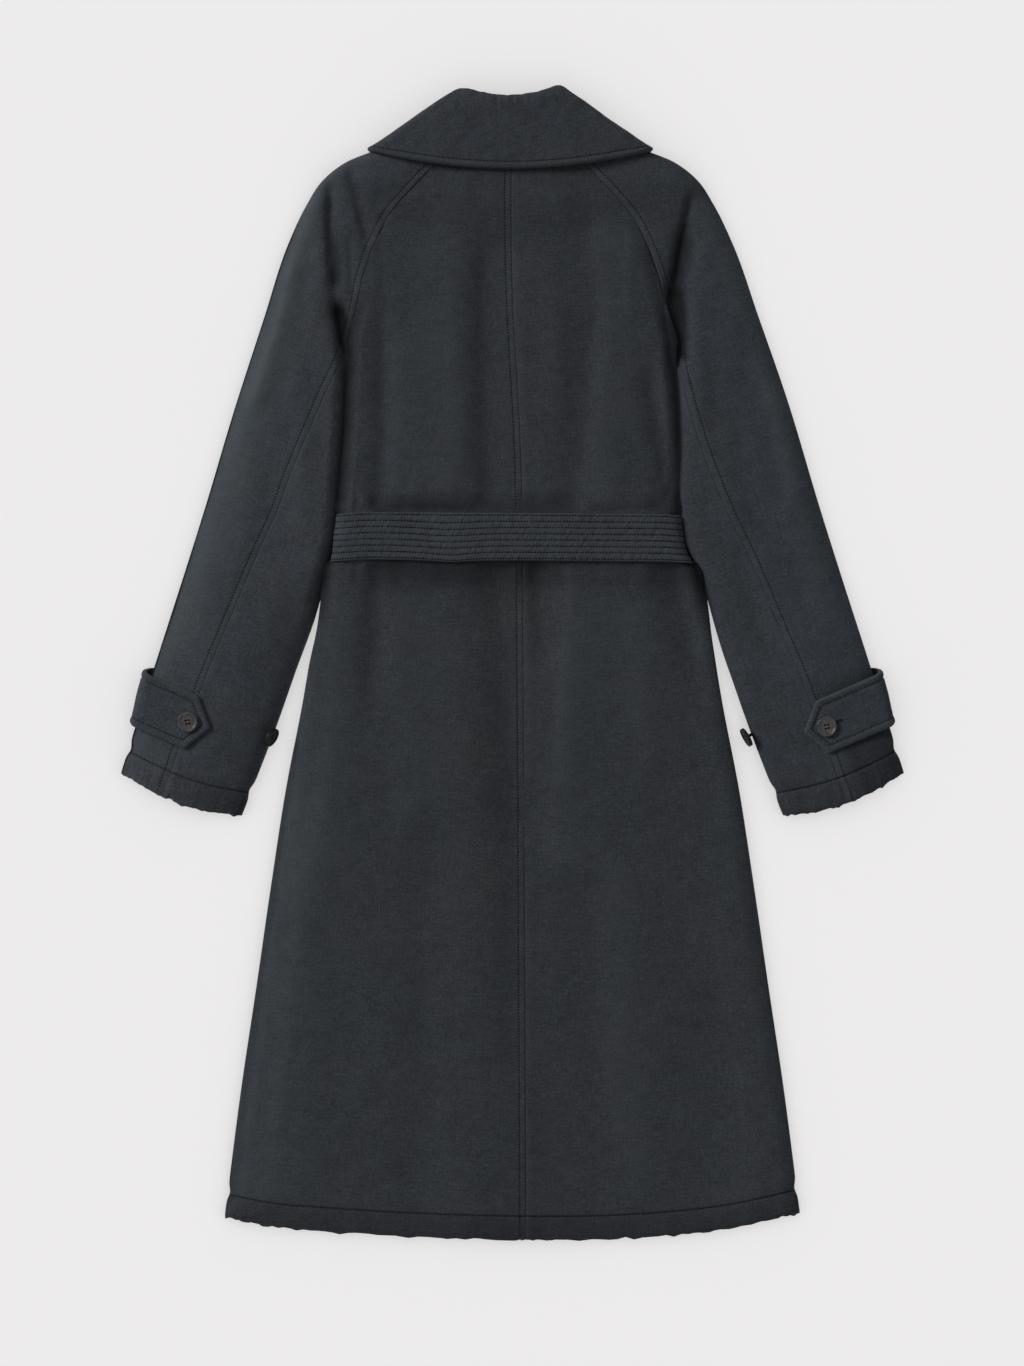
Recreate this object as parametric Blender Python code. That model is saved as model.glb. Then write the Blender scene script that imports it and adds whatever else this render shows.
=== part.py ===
"""Padded raglan trench coat, laid flat on its front with the back uppermost.

Units are metres. X runs across the coat, Y from the hem up to the collar, and Z up from the floor that
the fronts lie on. The origin is on the floor, in the middle of the coat's outline. Each piece of cloth is
a padded wall between an outer and an inner surface, both worked out from the same few sizes.
"""

import math
from collections import namedtuple

import bmesh
import bpy
import numpy as np
from mathutils import Matrix, Vector

# Thickness of the cloth and the gaps between pieces
WALL = 0.007  # shell, wadding and lining of one layer
SEAM_WALL = 0.002  # the same cloth pressed down where it is sewn to its neighbour
FOLD_WALL = 0.0035  # the same cloth turned round the edge of a sleeve
LAYER_GAP = 0.001  # between the back and the front that it lies on
SEAM_GAP = 0.0003  # between two pieces that are sewn together
REST_GAP = 0.0006  # between a panel and what lies on it
ROLL = 0.018  # width over which a panel rolls down to its edge
STACK = 2 * WALL + LAYER_GAP  # a front and a back, one on the other

# Body of the coat
HEM_Y = -0.600  # at the centre back
HEM_FOLD = 0.022  # depth of the turned hem, where the wadding thins out
HEM_PINCH = 0.55  # share of the wall left at the hem's edge
NECK_Y = 0.548  # neck seam at the centre back
NECK_CURVE = 1.41  # climb of the neck seam, times the square of the distance from the centre
NECK_GAP = 0.0007  # between the collar's stand and the panels, whose neck edges are a little straighter
OVERLAP = 0.045  # how far each front reaches past the centre
LAP_FLAT = 0.049  # half width of the stretch where the overlap lifts the back
LAP_END = 0.085  # from the centre to where that lift has faded
FACING_WALL = 0.0042  # thinner cloth where the two fronts overlap
LAP_HEIGHT = 2 * FACING_WALL + LAYER_GAP - WALL  # how far the overlap lifts the back
LAP_MARGIN = 0.020  # least distance from the overlap to the body's edge near the neck
FULL_ROLL_Y = 0.332  # level of the underarm, below which the body's edge is fully rolled
NO_ROLL_Y = 0.395  # level above which the raglan seam lies flat
LEAN = -0.0024  # how far the shoulders lie to the left of the hem's middle
LEAN_START = 0.25  # level where that lean begins
LEAN_END = 0.50  # level where it is complete

# Collar
COLLAR_WALL = 0.006
STAND_WALL = 0.004
COLLAR_TOP_HALF = 0.0668  # half width at the roll line
COLLAR_EDGE_HALF = 0.1522  # half width at the lower edge
COLLAR_BULGE = 0.0048  # how far each slanted side bows out
COLLAR_FOLD = 0.018  # depth of the fold at each side of the neck
COLLAR_EDGE_Y = 0.513  # lower edge at the centre back
COLLAR_EDGE_RISE = 0.0205  # how far the lower edge climbs from the centre to a side
COLLAR_OPENING = 0.012  # half gap between the leaves at the front, at the roll line
COLLAR_SPREAD = 0.035  # how much wider that gap is at the lower edge
COLLAR_LIFT = COLLAR_WALL + 0.0004  # the fronts lie on the collar's leaves
COLLAR_DOME = 1.35 * LAP_HEIGHT  # how far the middle of the collar rises over the fronts' overlap
LEAF_DEPTH = 0.026  # how far the leaves lift the fronts below the collar's lower edge
LEAF_EASE = 0.050  # length over which the fronts come down from the leaves
STAND_CLEARANCE = 0.0005  # between the stand and the fall
STAND_INSET = 0.0030  # how much narrower the stand is than the fall at the roll line
STAND_DROP = 0.004  # from the fall's roll line down to the stand's upper edge
STAND_REACH = 0.0085  # how far the stand passes the shoulders' neck points

# Belt
BELT_Y = 0.1315
BELT_TILT = -0.0076
BELT_WIDTH = 0.0495
BELT_WALL = 0.0024
BELT_PUFF = 0.0006  # how far a channel swells between two rows of stitching
BELT_ROWS = 8  # rows of stitching
BELT_EDGE = 0.0023  # from the belt's edge to its first row of stitching
BELT_SLACK = 0.0025  # how far the belt stands off the body's sides
BELT_LIFT = BELT_WALL + BELT_PUFF + REST_GAP
BELT_MARGIN = 0.003  # how far the body stays lifted past each edge of the belt
BELT_NIP = 0.011  # from there to where the body has filled out again beside the belt
BELT_EASE = 0.028  # length over which the body comes down from the belt
BELT_FLAT = 0.130  # half width of the belt's level stretch

# Cuff straps and their buttons
STRAP_TIP = (0.308, -0.069)  # point of the strap, on the right sleeve
STRAP_TURN = math.radians(23.4)  # how far the strap climbs as it goes outward
STRAP_WALL = 0.003
STRAP_UNDER = 0.045  # length of the strap that lies under the cuff
STRAP_LIFT = STRAP_WALL + REST_GAP
STRAP_FOLD = 0.004  # how far inside the sleeve's edge the strap starts to turn
STRAP_SKEW = 0.010  # how far up the sleeve the strap has slipped by the time it is underneath
STRAP_PLATEAU = -0.058  # start of the stretch of cuff that lies on the strap, up the sleeve from its point
STRAP_EASE = 0.080  # length over which the sleeve climbs to that stretch
STRAP_SLIP = {1: -0.006, -1: 0.006}  # right strap pulled further in than the left
BUTTON_RADIUS = 0.0102
BUTTON_THICK = 0.0034
BUTTON_REACH = 0.024  # from the strap's point to its button
BUTTON_DROP = 0.004  # from the strap's middle line to its button
STEM_RADIUS = 0.0016  # thread stem under a button on the sleeve's edge

Point = namedtuple("Point", "x y")

# Second button of each cuff, on the fold at the sleeve's inner edge: its level, how far round the fold it
# sits from the edge, how far its seat lies inside the rounded fold, how far it tips over, and its stem
EdgeButton = namedtuple("EdgeButton", "side y round seat tilt stem")
EDGE_BUTTONS = [
    EdgeButton(side=-1, y=-0.0765, round=36, seat=0.0004, tilt=52, stem=0.0016),
    EdgeButton(side=1, y=-0.0735, round=20, seat=0.0006, tilt=63, stem=0.0062),
]

# Profile of a button, as shares of its radius and of its thickness, from the middle of its face to its back
Turned = namedtuple("Turned", "radius height")
BUTTON_PROFILE = [
    Turned(radius=0.00, height=0.71),
    Turned(radius=0.62, height=0.74),
    Turned(radius=0.76, height=1.00),
    Turned(radius=0.92, height=1.00),
    Turned(radius=1.00, height=0.74),
    Turned(radius=1.00, height=0.35),
    Turned(radius=0.80, height=0.00),
]

# Hem: how far it climbs from its lowest level, by share of the half width, from the left side to the right
Hem = namedtuple("Hem", "across rise")
HEM = [
    Hem(across=-1.00, rise=0.0232),
    Hem(across=-0.83, rise=0.0136),
    Hem(across=-0.62, rise=0.0083),
    Hem(across=-0.41, rise=0.0042),
    Hem(across=-0.15, rise=0.0014),
    Hem(across=0.10, rise=0.0000),
    Hem(across=0.32, rise=0.0006),
    Hem(across=0.53, rise=0.0042),
    Hem(across=0.74, rise=0.0112),
    Hem(across=1.00, rise=0.0280),
]

# Roll line at the top of the collar, by share of its half width: two humps with a dip between them
Roll = namedtuple("Roll", "across y")
ROLL_LINE = [
    Roll(across=-1.00, y=0.5915),
    Roll(across=-0.80, y=0.5968),
    Roll(across=-0.39, y=0.5920),
    Roll(across=0.08, y=0.5899),
    Roll(across=0.55, y=0.5956),
    Roll(across=0.78, y=0.6000),
    Roll(across=1.00, y=0.5920),
]

# Seam between back and raglan sleeve, from the neck to the underarm, on the right side
RAGLAN = [
    Point(x=0.0500, y=0.5516),
    Point(x=0.0782, y=0.5187),
    Point(x=0.1043, y=0.4916),
    Point(x=0.1298, y=0.4603),
    Point(x=0.1428, y=0.4343),
    Point(x=0.1543, y=0.4020),
    Point(x=0.1625, y=0.3650),
    Point(x=0.1720, y=0.3320),
]

# Outer edge of the sleeve from the neck to the underarm's level, then on to the cuff
SHOULDER_EDGE = [
    Point(x=0.0950, y=0.5608),
    Point(x=0.1190, y=0.5458),
    Point(x=0.1405, y=0.5340),
    Point(x=0.1731, y=0.5197),
    Point(x=0.1981, y=0.4989),
    Point(x=0.2116, y=0.4780),
    Point(x=0.2315, y=0.4363),
    Point(x=0.2575, y=0.3600),
]
SLEEVE_OUTER = [
    Point(x=0.2575, y=0.3600),
    Point(x=0.2878, y=0.2695),
    Point(x=0.3190, y=0.1653),
    Point(x=0.3519, y=0.0610),
    Point(x=0.3852, y=-0.0433),
    Point(x=0.4075, y=-0.1142),
]
SLEEVE_INNER = [
    Point(x=0.1720, y=0.3320),
    Point(x=0.1767, y=0.2852),
    Point(x=0.1793, y=0.2330),
    Point(x=0.1845, y=0.1809),
    Point(x=0.1945, y=0.1183),
    Point(x=0.2050, y=0.0610),
    Point(x=0.2163, y=0.0193),
    Point(x=0.2304, y=-0.0224),
    Point(x=0.2450, y=-0.0641),
    Point(x=0.2690, y=-0.1267),
    Point(x=0.2815, y=-0.1585),
]
CUFF_BOW = 0.0105  # how far the cuff's edge bows out past a straight line

# Side of the body from the underarm to the hem, on the right side
SIDE = [
    Point(x=0.1711, y=0.3320),
    Point(x=0.1758, y=0.2852),
    Point(x=0.1784, y=0.2330),
    Point(x=0.1834, y=0.1809),
    Point(x=0.1838, y=0.1700),
    Point(x=0.1823, y=0.1580),
    Point(x=0.1845, y=0.1340),
    Point(x=0.1893, y=0.1050),
    Point(x=0.1972, y=0.0920),
    Point(x=0.2022, y=0.0610),
    Point(x=0.2189, y=-0.0433),
    Point(x=0.2351, y=-0.1267),
    Point(x=0.2513, y=-0.2309),
    Point(x=0.2664, y=-0.3352),
    Point(x=0.2820, y=-0.4395),
    Point(x=0.2992, y=-0.5720),
]

# Centre back seam, which leans to the right of the coat's middle below the shoulders
CENTRE_SEAM = [
    Point(x=0.0014, y=0.5480),
    Point(x=0.0018, y=0.3800),
    Point(x=0.0095, y=0.2000),
    Point(x=0.0110, y=0.0450),
    Point(x=0.0145, y=-0.6000),
]

# Seams of a sleeve, as shares of its width from its outer edge, by station from the underarm to the cuff:
# the back seam on the left and right sleeves, and the front seam, which is hidden under both
Seam = namedtuple("Seam", "station left right front")
SLEEVE_SEAMS = [
    Seam(station=0.00, left=0.985, right=0.985, front=0.985),
    Seam(station=0.08, left=0.855, right=0.945, front=0.860),
    Seam(station=0.20, left=0.700, right=0.850, front=0.730),
    Seam(station=0.45, left=0.500, right=0.630, front=0.630),
    Seam(station=0.70, left=0.400, right=0.525, front=0.600),
    Seam(station=1.00, left=0.345, right=0.475, front=0.600),
]

# Cuff strap, line by line across it: where the line starts, from the level of the point, and how far its
# loop stands off the sleeve's outer edge
Strap = namedtuple("Strap", "across start bulge")
STRAP_SHAPE = [
    Strap(across=-0.0250, start=0.0245, bulge=0.0105),
    Strap(across=-0.0125, start=0.0122, bulge=0.0100),
    Strap(across=0.0000, start=0.0000, bulge=0.0095),
    Strap(across=0.0155, start=0.0080, bulge=0.0080),
    Strap(across=0.0310, start=0.0160, bulge=0.0070),
]

# Largest folds of the back and shoulders: each is a soft ridge, or a trough where the height is below zero
Fold = namedtuple("Fold", "x0 y0 x1 y1 width height")
FOLDS = [
    Fold(x0=-0.030, y0=0.430, x1=-0.028, y1=0.200, width=0.022, height=-0.0024),
    Fold(x0=0.096, y0=0.465, x1=0.080, y1=0.210, width=0.024, height=0.0030),
    Fold(x0=0.134, y0=0.390, x1=0.140, y1=0.215, width=0.018, height=-0.0022),
    Fold(x0=-0.128, y0=0.400, x1=-0.122, y1=0.210, width=0.026, height=0.0028),
    Fold(x0=-0.190, y0=0.475, x1=-0.184, y1=0.350, width=0.013, height=-0.0045),
    Fold(x0=0.181, y0=0.478, x1=0.170, y1=0.350, width=0.013, height=-0.0045),
    Fold(x0=-0.226, y0=0.430, x1=-0.262, y1=0.285, width=0.016, height=0.0026),
    Fold(x0=-0.020, y0=0.060, x1=-0.016, y1=-0.330, width=0.028, height=-0.0028),
    Fold(x0=0.050, y0=0.050, x1=0.046, y1=-0.190, width=0.026, height=0.0028),
    Fold(x0=-0.118, y0=0.050, x1=-0.150, y1=-0.260, width=0.034, height=0.0026),
    Fold(x0=0.150, y0=0.060, x1=0.168, y1=-0.200, width=0.030, height=-0.0024),
]

# Numbers of sections and of points across them
RAGLAN_STATIONS = 11
SLEEVE_STATIONS = 17
ABOVE_BELT_ROWS = 5
BELOW_BELT_ROWS = 13
BACK_COLUMNS = 8
FRONT_COLUMNS = 6
SLEEVE_COLUMNS = 6
UNDER_COLUMNS = 5
BELT_SECTIONS = 5
BELT_FRONT_COLUMNS = 3
COLLAR_ROWS = 6
COLLAR_TOP_COLUMNS = 12
COLLAR_LEAF_COLUMNS = 4
STAND_ROWS = 2
STRAP_COLUMNS = 6
WRAP_COLUMNS = 6
BUTTON_SIDES = 20


def step(start, end, value):
    """0 before start, 1 after end, and a smooth climb between them."""
    share = np.clip((value - start) / (end - start), 0.0, 1.0)
    return share * share * (3 - 2 * share)


def smooth_through(knots, values, at):
    """Values read off a smooth curve through the given ones. The knots increase."""
    knots = np.asarray(knots, float)
    values = np.asarray(values, float)
    slopes = np.gradient(values, knots)
    low = np.clip(np.searchsorted(knots, at) - 1, 0, len(knots) - 2)
    span = knots[low + 1] - knots[low]
    share = (at - knots[low]) / span
    rest = 1 - share
    return (
        (1 + 2 * share) * rest**2 * values[low]
        + share * rest**2 * span * slopes[low]
        + share**2 * (3 - 2 * share) * values[low + 1]
        - share**2 * rest * span * slopes[low + 1]
    )


def edge_x(points, y):
    """Where a seam or a side edge crosses the level y."""
    rising = sorted(points, key=lambda point: point.y)
    return smooth_through([p.y for p in rising], [p.x for p in rising], y)


def spaced_along(points, count):
    """Points at equal distances along a smooth curve through the given ones."""
    points = np.array(points)
    chords = np.hypot(*np.diff(points, axis=0).T)
    lengths = np.concatenate([[0.0], np.cumsum(chords)])
    at = np.linspace(0.0, lengths[-1], count)
    return np.stack([smooth_through(lengths, points[:, axis], at) for axis in (0, 1)], axis=1)


def roll(distance):
    """How far a panel has rolled down near its edge: 0 on the flat and 1 at the edge."""
    inward = np.clip(distance / ROLL, 0.0, 1.0)
    return 1 - np.sqrt(1 - (1 - inward) ** 2)


def hem_rise(x):
    """How far the hem has climbed at a distance x from the coat's middle."""
    across = np.clip(x / SIDE[-1].x, -1.0, 1.0)
    return smooth_through([row.across for row in HEM], [row.rise for row in HEM], across)


def leaned(points):
    """The given points moved sideways with the coat's lean."""
    moved = np.array(points, float)
    moved[..., 0] += LEAN * step(LEAN_START, LEAN_END, moved[..., 1])
    return moved


def collar_edge_y(x):
    return COLLAR_EDGE_Y + COLLAR_EDGE_RISE * (x / COLLAR_EDGE_HALF) ** 2


def strap_frame(side):
    """The strap's point, the direction outward along it, and the direction across it towards the cuff."""
    outward = np.array([side * math.cos(STRAP_TURN), math.sin(STRAP_TURN)])
    across = np.array([side * math.sin(STRAP_TURN), -math.cos(STRAP_TURN)])
    tip = np.array([side * STRAP_TIP[0], STRAP_TIP[1]]) + outward * STRAP_SLIP[side]
    return tip, outward, across


def collar_lift(x, y):
    """Height of the floor under the coat's top: the collar's leaves lie there."""
    full = collar_edge_y(x) - LEAF_DEPTH
    return COLLAR_LIFT * step(full - LEAF_EASE, full, y)


def body_lift(x, y):
    """Height of what the body of the coat lies on: the floor, the collar's leaves or the belt."""
    plateau = BELT_WIDTH / 2 + BELT_MARGIN
    off_belt = np.abs(y - BELT_Y)
    return collar_lift(x, y) + BELT_LIFT * (1 - step(plateau, plateau + BELT_EASE, off_belt))


def sleeve_lift(x, y, side):
    """Height of what a sleeve lies on: the floor, the collar's leaves or its own cuff strap."""
    tip, _, across = strap_frame(side)
    along_sleeve = (x - tip[0]) * across[0] + (y - tip[1]) * across[1]
    return collar_lift(x, y) + STRAP_LIFT * step(STRAP_PLATEAU - STRAP_EASE, STRAP_PLATEAU, along_sleeve)


def relief(x, y):
    """Height of the folds, which die away under the collar, the belt and the straps."""
    collar_fade = 0.034
    belt_clearance = 0.004
    belt_fade = 0.041
    strap_top = -0.010
    strap_fade = 0.090
    height = np.zeros(np.shape(x))
    for fold in FOLDS:
        run = np.array([fold.x1 - fold.x0, fold.y1 - fold.y0])
        share = ((x - fold.x0) * run[0] + (y - fold.y0) * run[1]) / (run @ run)
        share = np.clip(share, 0.0, 1.0)
        away = np.hypot(x - fold.x0 - share * run[0], y - fold.y0 - share * run[1])
        height = height + fold.height * np.exp(-((away / fold.width) ** 2))
    under_collar = collar_edge_y(x) - LEAF_DEPTH
    clear_of_collar = 1 - step(under_collar - collar_fade, under_collar, y)
    belt_edge = BELT_WIDTH / 2 + belt_clearance
    clear_of_belt = step(belt_edge, belt_edge + belt_fade, np.abs(y - BELT_Y))
    on_sleeve = np.abs(x) > edge_x(SIDE, np.clip(y, HEM_Y, SIDE[0].y)) + SEAM_GAP
    clear_of_strap = step(strap_top, strap_top + strap_fade, y)
    return height * clear_of_collar * np.where(on_sleeve, clear_of_strap, clear_of_belt)


def roll_share(y):
    """Share of the full roll at the body's edge: none along the raglan seam, all of it below the underarm."""
    return 1 - step(FULL_ROLL_Y, NO_ROLL_Y, y)


def body_edge(y):
    """Half width of the body at the level y, short of the raglan seam or of the sleeve beside it."""
    on_raglan = edge_x(RAGLAN, np.clip(y, RAGLAN[-1].y, RAGLAN[0].y)) - 1.5 * SEAM_GAP
    on_side = edge_x(SIDE, np.clip(y, SIDE[-1].y, SIDE[0].y))
    return np.where(y > SIDE[0].y, on_raglan, on_side)


def lap_scale(y):
    """How much narrower the fronts' overlap is where the body narrows towards the neck."""
    return np.minimum(1.0, (body_edge(y) - LAP_MARGIN) / LAP_END)


def lapped(x, y):
    """1 over the fronts' overlap, fading evenly to 0 at each side of it."""
    scale = lap_scale(y)
    return np.clip((LAP_END * scale - np.abs(x)) / ((LAP_END - LAP_FLAT) * scale), 0.0, 1.0)


def back_underside(x, y, inward):
    gap = SEAM_GAP + (LAYER_GAP - SEAM_GAP) * step(0.0, ROLL, inward)
    return body_lift(x, y) + WALL + LAP_HEIGHT * lapped(x, y) + gap


def back_top(x, y, inward):
    """Upper surface of the back, a distance inward from the body's edge."""
    rolled = roll_share(y) * roll(inward) * (WALL - SEAM_WALL)
    hem = HEM_Y + hem_rise(x)
    pinch = HEM_PINCH + (1 - HEM_PINCH) * step(hem, hem + HEM_FOLD, y)
    wall = np.maximum(SEAM_WALL, (WALL - rolled) * pinch + relief(x, y))
    return back_underside(x, y, inward) + wall


def body_levels():
    """Heights of the body's sections: those of the raglan stations, then down past the belt to the hem."""
    raglan = spaced_along(RAGLAN, RAGLAN_STATIONS)[:, 1]
    raglan[-1] = SIDE[0].y
    plateau = BELT_WIDTH / 2 + BELT_MARGIN
    above_belt = np.linspace(SIDE[0].y, BELT_Y + plateau + BELT_EASE, ABOVE_BELT_ROWS + 1)[1:]
    behind_belt = np.linspace(plateau, -plateau, BELT_SECTIONS)
    belt = BELT_Y + np.concatenate([[plateau + BELT_NIP], behind_belt, [-plateau - BELT_NIP]])
    below_belt = np.linspace(BELT_Y - plateau - BELT_EASE, HEM_Y + HEM_FOLD, BELOW_BELT_ROWS)
    return np.concatenate([raglan, above_belt, belt, below_belt, [HEM_Y]])


def body_grid(side, first_lines, columns):
    """Points of a body panel's sections, from the panel's lines near the centre out to the body's edge."""
    levels = body_levels()[:, None]
    across = np.sin(np.linspace(0.0, math.pi / 2, columns + 1))[None, 1:]
    below_waist = step(0.0, -HEM_Y, -levels) ** 2
    climb = hem_rise(side * body_edge(levels)) * below_waist
    end = side * body_edge(levels + climb)
    last_line = first_lines[-1](levels)
    spread = last_line + (end - last_line) * across
    x = np.concatenate([line(levels) for line in first_lines] + [spread], axis=1)
    y = levels + hem_rise(x) * below_waist
    neck_share = step(levels[2, 0], levels[0, 0], levels)
    y = y + NECK_CURVE * (x**2 - end**2) * neck_share
    inward = np.abs(end - x)
    return x, y, inward


def wall_object(name, outer, inner, material):
    """A closed wall between two grids of points, made by extruding a flat grid and moving its points."""
    rows, columns = outer.shape[:2]
    outer, inner = leaned(outer), leaned(inner)
    mesh = bmesh.new()
    bmesh.ops.create_grid(mesh, x_segments=columns - 1, y_segments=rows - 1, size=0.5)
    place = mesh.verts.layers.int.new("place")
    mesh.verts.ensure_lookup_table()
    for index, vertex in enumerate(mesh.verts):
        vertex[place] = index
        vertex.co = outer[index // columns, index % columns]
    made = bmesh.ops.extrude_face_region(mesh, geom=mesh.faces[:])
    for element in made["geom"]:
        if isinstance(element, bmesh.types.BMVert):
            element.co = inner[element[place] // columns, element[place] % columns]
    mesh.verts.layers.int.remove(place)
    bmesh.ops.recalc_face_normals(mesh, faces=mesh.faces[:])
    return linked_object(name, mesh, material)


def linked_object(name, mesh, material):
    data = bpy.data.meshes.new(name)
    mesh.to_mesh(data)
    mesh.free()
    data.shade_smooth()
    data.set_sharp_from_angle(angle=math.radians(50))
    data.materials.append(material)
    made = bpy.data.objects.new(name, data)
    PARTS.objects.link(made)
    return made


def stacked(x, y, z):
    return np.stack(np.broadcast_arrays(x, y, z), axis=-1)


def side_name(stem, side):
    return f"{stem}_{'right' if side > 0 else 'left'}"


def make_back(side, cloth):
    """Half of the back, from the centre back seam to the raglan seam and the side seam."""
    lines = [
        lambda level: edge_x(CENTRE_SEAM, np.clip(level, HEM_Y, NECK_Y)) + side * SEAM_GAP / 2,
        lambda level: side * LAP_FLAT * lap_scale(level),
        lambda level: side * LAP_END * lap_scale(level),
    ]
    x, y, inward = body_grid(side, lines, BACK_COLUMNS)
    top = stacked(x, y, back_top(x, y, inward))
    under = stacked(x, y, back_underside(x, y, inward))
    wall_object(side_name("back", side), top, under, cloth)


def make_front(side, cloth):
    """A front, lying under the back. The right one laps over the left, so it is the lower of the two."""
    lines = [
        lambda level: -side * OVERLAP * lap_scale(level),
        lambda level: side * LAP_FLAT * lap_scale(level),
        lambda level: side * LAP_END * lap_scale(level),
    ]
    x, y, inward = body_grid(side, lines, FRONT_COLUMNS)
    floor = body_lift(x, y)
    rolled = roll_share(y) * roll(inward) * (WALL - SEAM_WALL)
    facing = lapped(x, y)
    if side > 0:
        under = floor + rolled
        top = floor + WALL - (WALL - FACING_WALL) * facing
    else:
        under = floor + rolled + (FACING_WALL + LAYER_GAP / 2) * facing
        top = floor + WALL + (LAP_HEIGHT - LAYER_GAP / 2) * facing
    wall_object(side_name("front", side), stacked(x, y, under), stacked(x, y, top), cloth)


def sleeve_stations():
    """Outer and inner points of the right sleeve's sections, from the neck to the cuff."""
    outer_top = spaced_along(SHOULDER_EDGE, RAGLAN_STATIONS)
    inner_top = spaced_along(RAGLAN, RAGLAN_STATIONS)
    outer_low = spaced_along(SLEEVE_OUTER, SLEEVE_STATIONS)
    inner_low = spaced_along(SLEEVE_INNER, SLEEVE_STATIONS)
    return np.concatenate([outer_top, outer_low[1:]]), np.concatenate([inner_top, inner_low[1:]])


def sleeve_section(station, side, start, fold, finish, columns):
    """Outer and inner points of a piece of sleeve that runs from one seam, round a fold, to the other seam.

    The seams and the fold are distances from the sleeve's outer edge, across the section.
    """
    outer_points, inner_points = sleeve_stations()
    outer_edge, inner_edge = outer_points[station], inner_points[station]
    width = np.hypot(*(inner_edge - outer_edge))
    in_raglan = station < RAGLAN_STATIONS - 1
    inner_roll = roll_share(inner_edge[1]) * (WALL - SEAM_WALL) if in_raglan else STACK / 2
    along = np.sin(np.linspace(0.0, math.pi / 2, columns + 1))
    share = np.concatenate([along, along[-2::-1]])
    above = np.arange(len(share)) <= columns
    seam = np.where(above, start, finish)
    distance = seam + (fold - seam) * share
    lining_fold = fold + math.copysign(min(FOLD_WALL, 0.5 * abs(start - fold)), start - fold)
    lining = seam + (lining_fold - seam) * share
    low_end = max(0, station - RAGLAN_STATIONS + 1) / (SLEEVE_STATIONS - 1)
    bow = CUFF_BOW * low_end**8

    def plan(q):
        """Place on the floor of a point that lies q from the sleeve's outer edge."""
        point = outer_edge + (inner_edge - outer_edge) * (q / width)[:, None]
        y = point[:, 1] - bow * np.sin(math.pi * np.clip(q / width, 0.0, 1.0))
        if station == 0:
            y = NECK_Y + NECK_CURVE * point[:, 0] ** 2
        return side * point[:, 0], y

    x, y = plan(distance)
    lift = sleeve_lift(x, y, side)
    rolled = np.maximum(roll(distance) * STACK / 2, roll(width - distance) * inner_roll)
    deepest = np.minimum(0.0, SEAM_WALL - WALL + rolled)
    folds = np.maximum(relief(x, y) * (1 - share**4), deepest)
    outer = stacked(x, y, lift + np.where(above, STACK - rolled + folds, rolled))
    lining_x, lining_y = plan(lining)
    slit = LAYER_GAP / 2 * (1 - share**6)
    middle = sleeve_lift(lining_x, lining_y, side) + STACK / 2
    inner = stacked(lining_x, lining_y, middle + np.where(above, slit, -slit))
    return outer, inner


def sleeve_seams(station, side):
    """Width of a sleeve's section, and how far its back and front seams lie from the sleeve's outer edge."""
    outer_points, inner_points = sleeve_stations()
    width = float(np.hypot(*(inner_points[station] - outer_points[station])))
    if station < RAGLAN_STATIONS - 1:
        return width, width, width
    at = (station - RAGLAN_STATIONS + 1) / (SLEEVE_STATIONS - 1)
    stations = [row.station for row in SLEEVE_SEAMS]
    back = smooth_through(stations, [row.right if side > 0 else row.left for row in SLEEVE_SEAMS], at)
    front = smooth_through(stations, [row.front for row in SLEEVE_SEAMS], at)
    return width, width * float(back), width * float(front)


def make_top_sleeve(side, cloth):
    """Top sleeve: from the neck over the shoulder to the cuff, folded round the sleeve's outer edge."""
    outer, inner = [], []
    for station in range(RAGLAN_STATIONS + SLEEVE_STATIONS - 1):
        _, back_seam, front_seam = sleeve_seams(station, side)
        section = sleeve_section(station, side, back_seam, 0.0, front_seam, SLEEVE_COLUMNS)
        outer.append(section[0])
        inner.append(section[1])
    wall_object(side_name("sleeve_top", side), np.array(outer), np.array(inner), cloth)


def make_under_sleeve(side, cloth):
    """Under sleeve: from the underarm to the cuff, folded round the sleeve's inner edge."""
    outer, inner = [], []
    for station in range(RAGLAN_STATIONS - 1, RAGLAN_STATIONS + SLEEVE_STATIONS - 1):
        width, back_seam, front_seam = sleeve_seams(station, side)
        section = sleeve_section(
            station, side, back_seam + SEAM_GAP, width, front_seam + SEAM_GAP, UNDER_COLUMNS
        )
        outer.append(section[0])
        inner.append(section[1])
    wall_object(side_name("sleeve_under", side), np.array(outer), np.array(inner), cloth)


def wrap(half_width, half_height):
    """Points from the top of a rounded side, round it, to its bottom, about the side's own centre.

    The side is a little squarer than an ellipse.
    """
    power = 0.8
    angle = np.linspace(math.pi / 2, -math.pi / 2, WRAP_COLUMNS + 1)
    x = half_width * np.abs(np.cos(angle)) ** power
    z = half_height * np.sign(np.sin(angle)) * np.abs(np.sin(angle)) ** power
    return x, z


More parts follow.
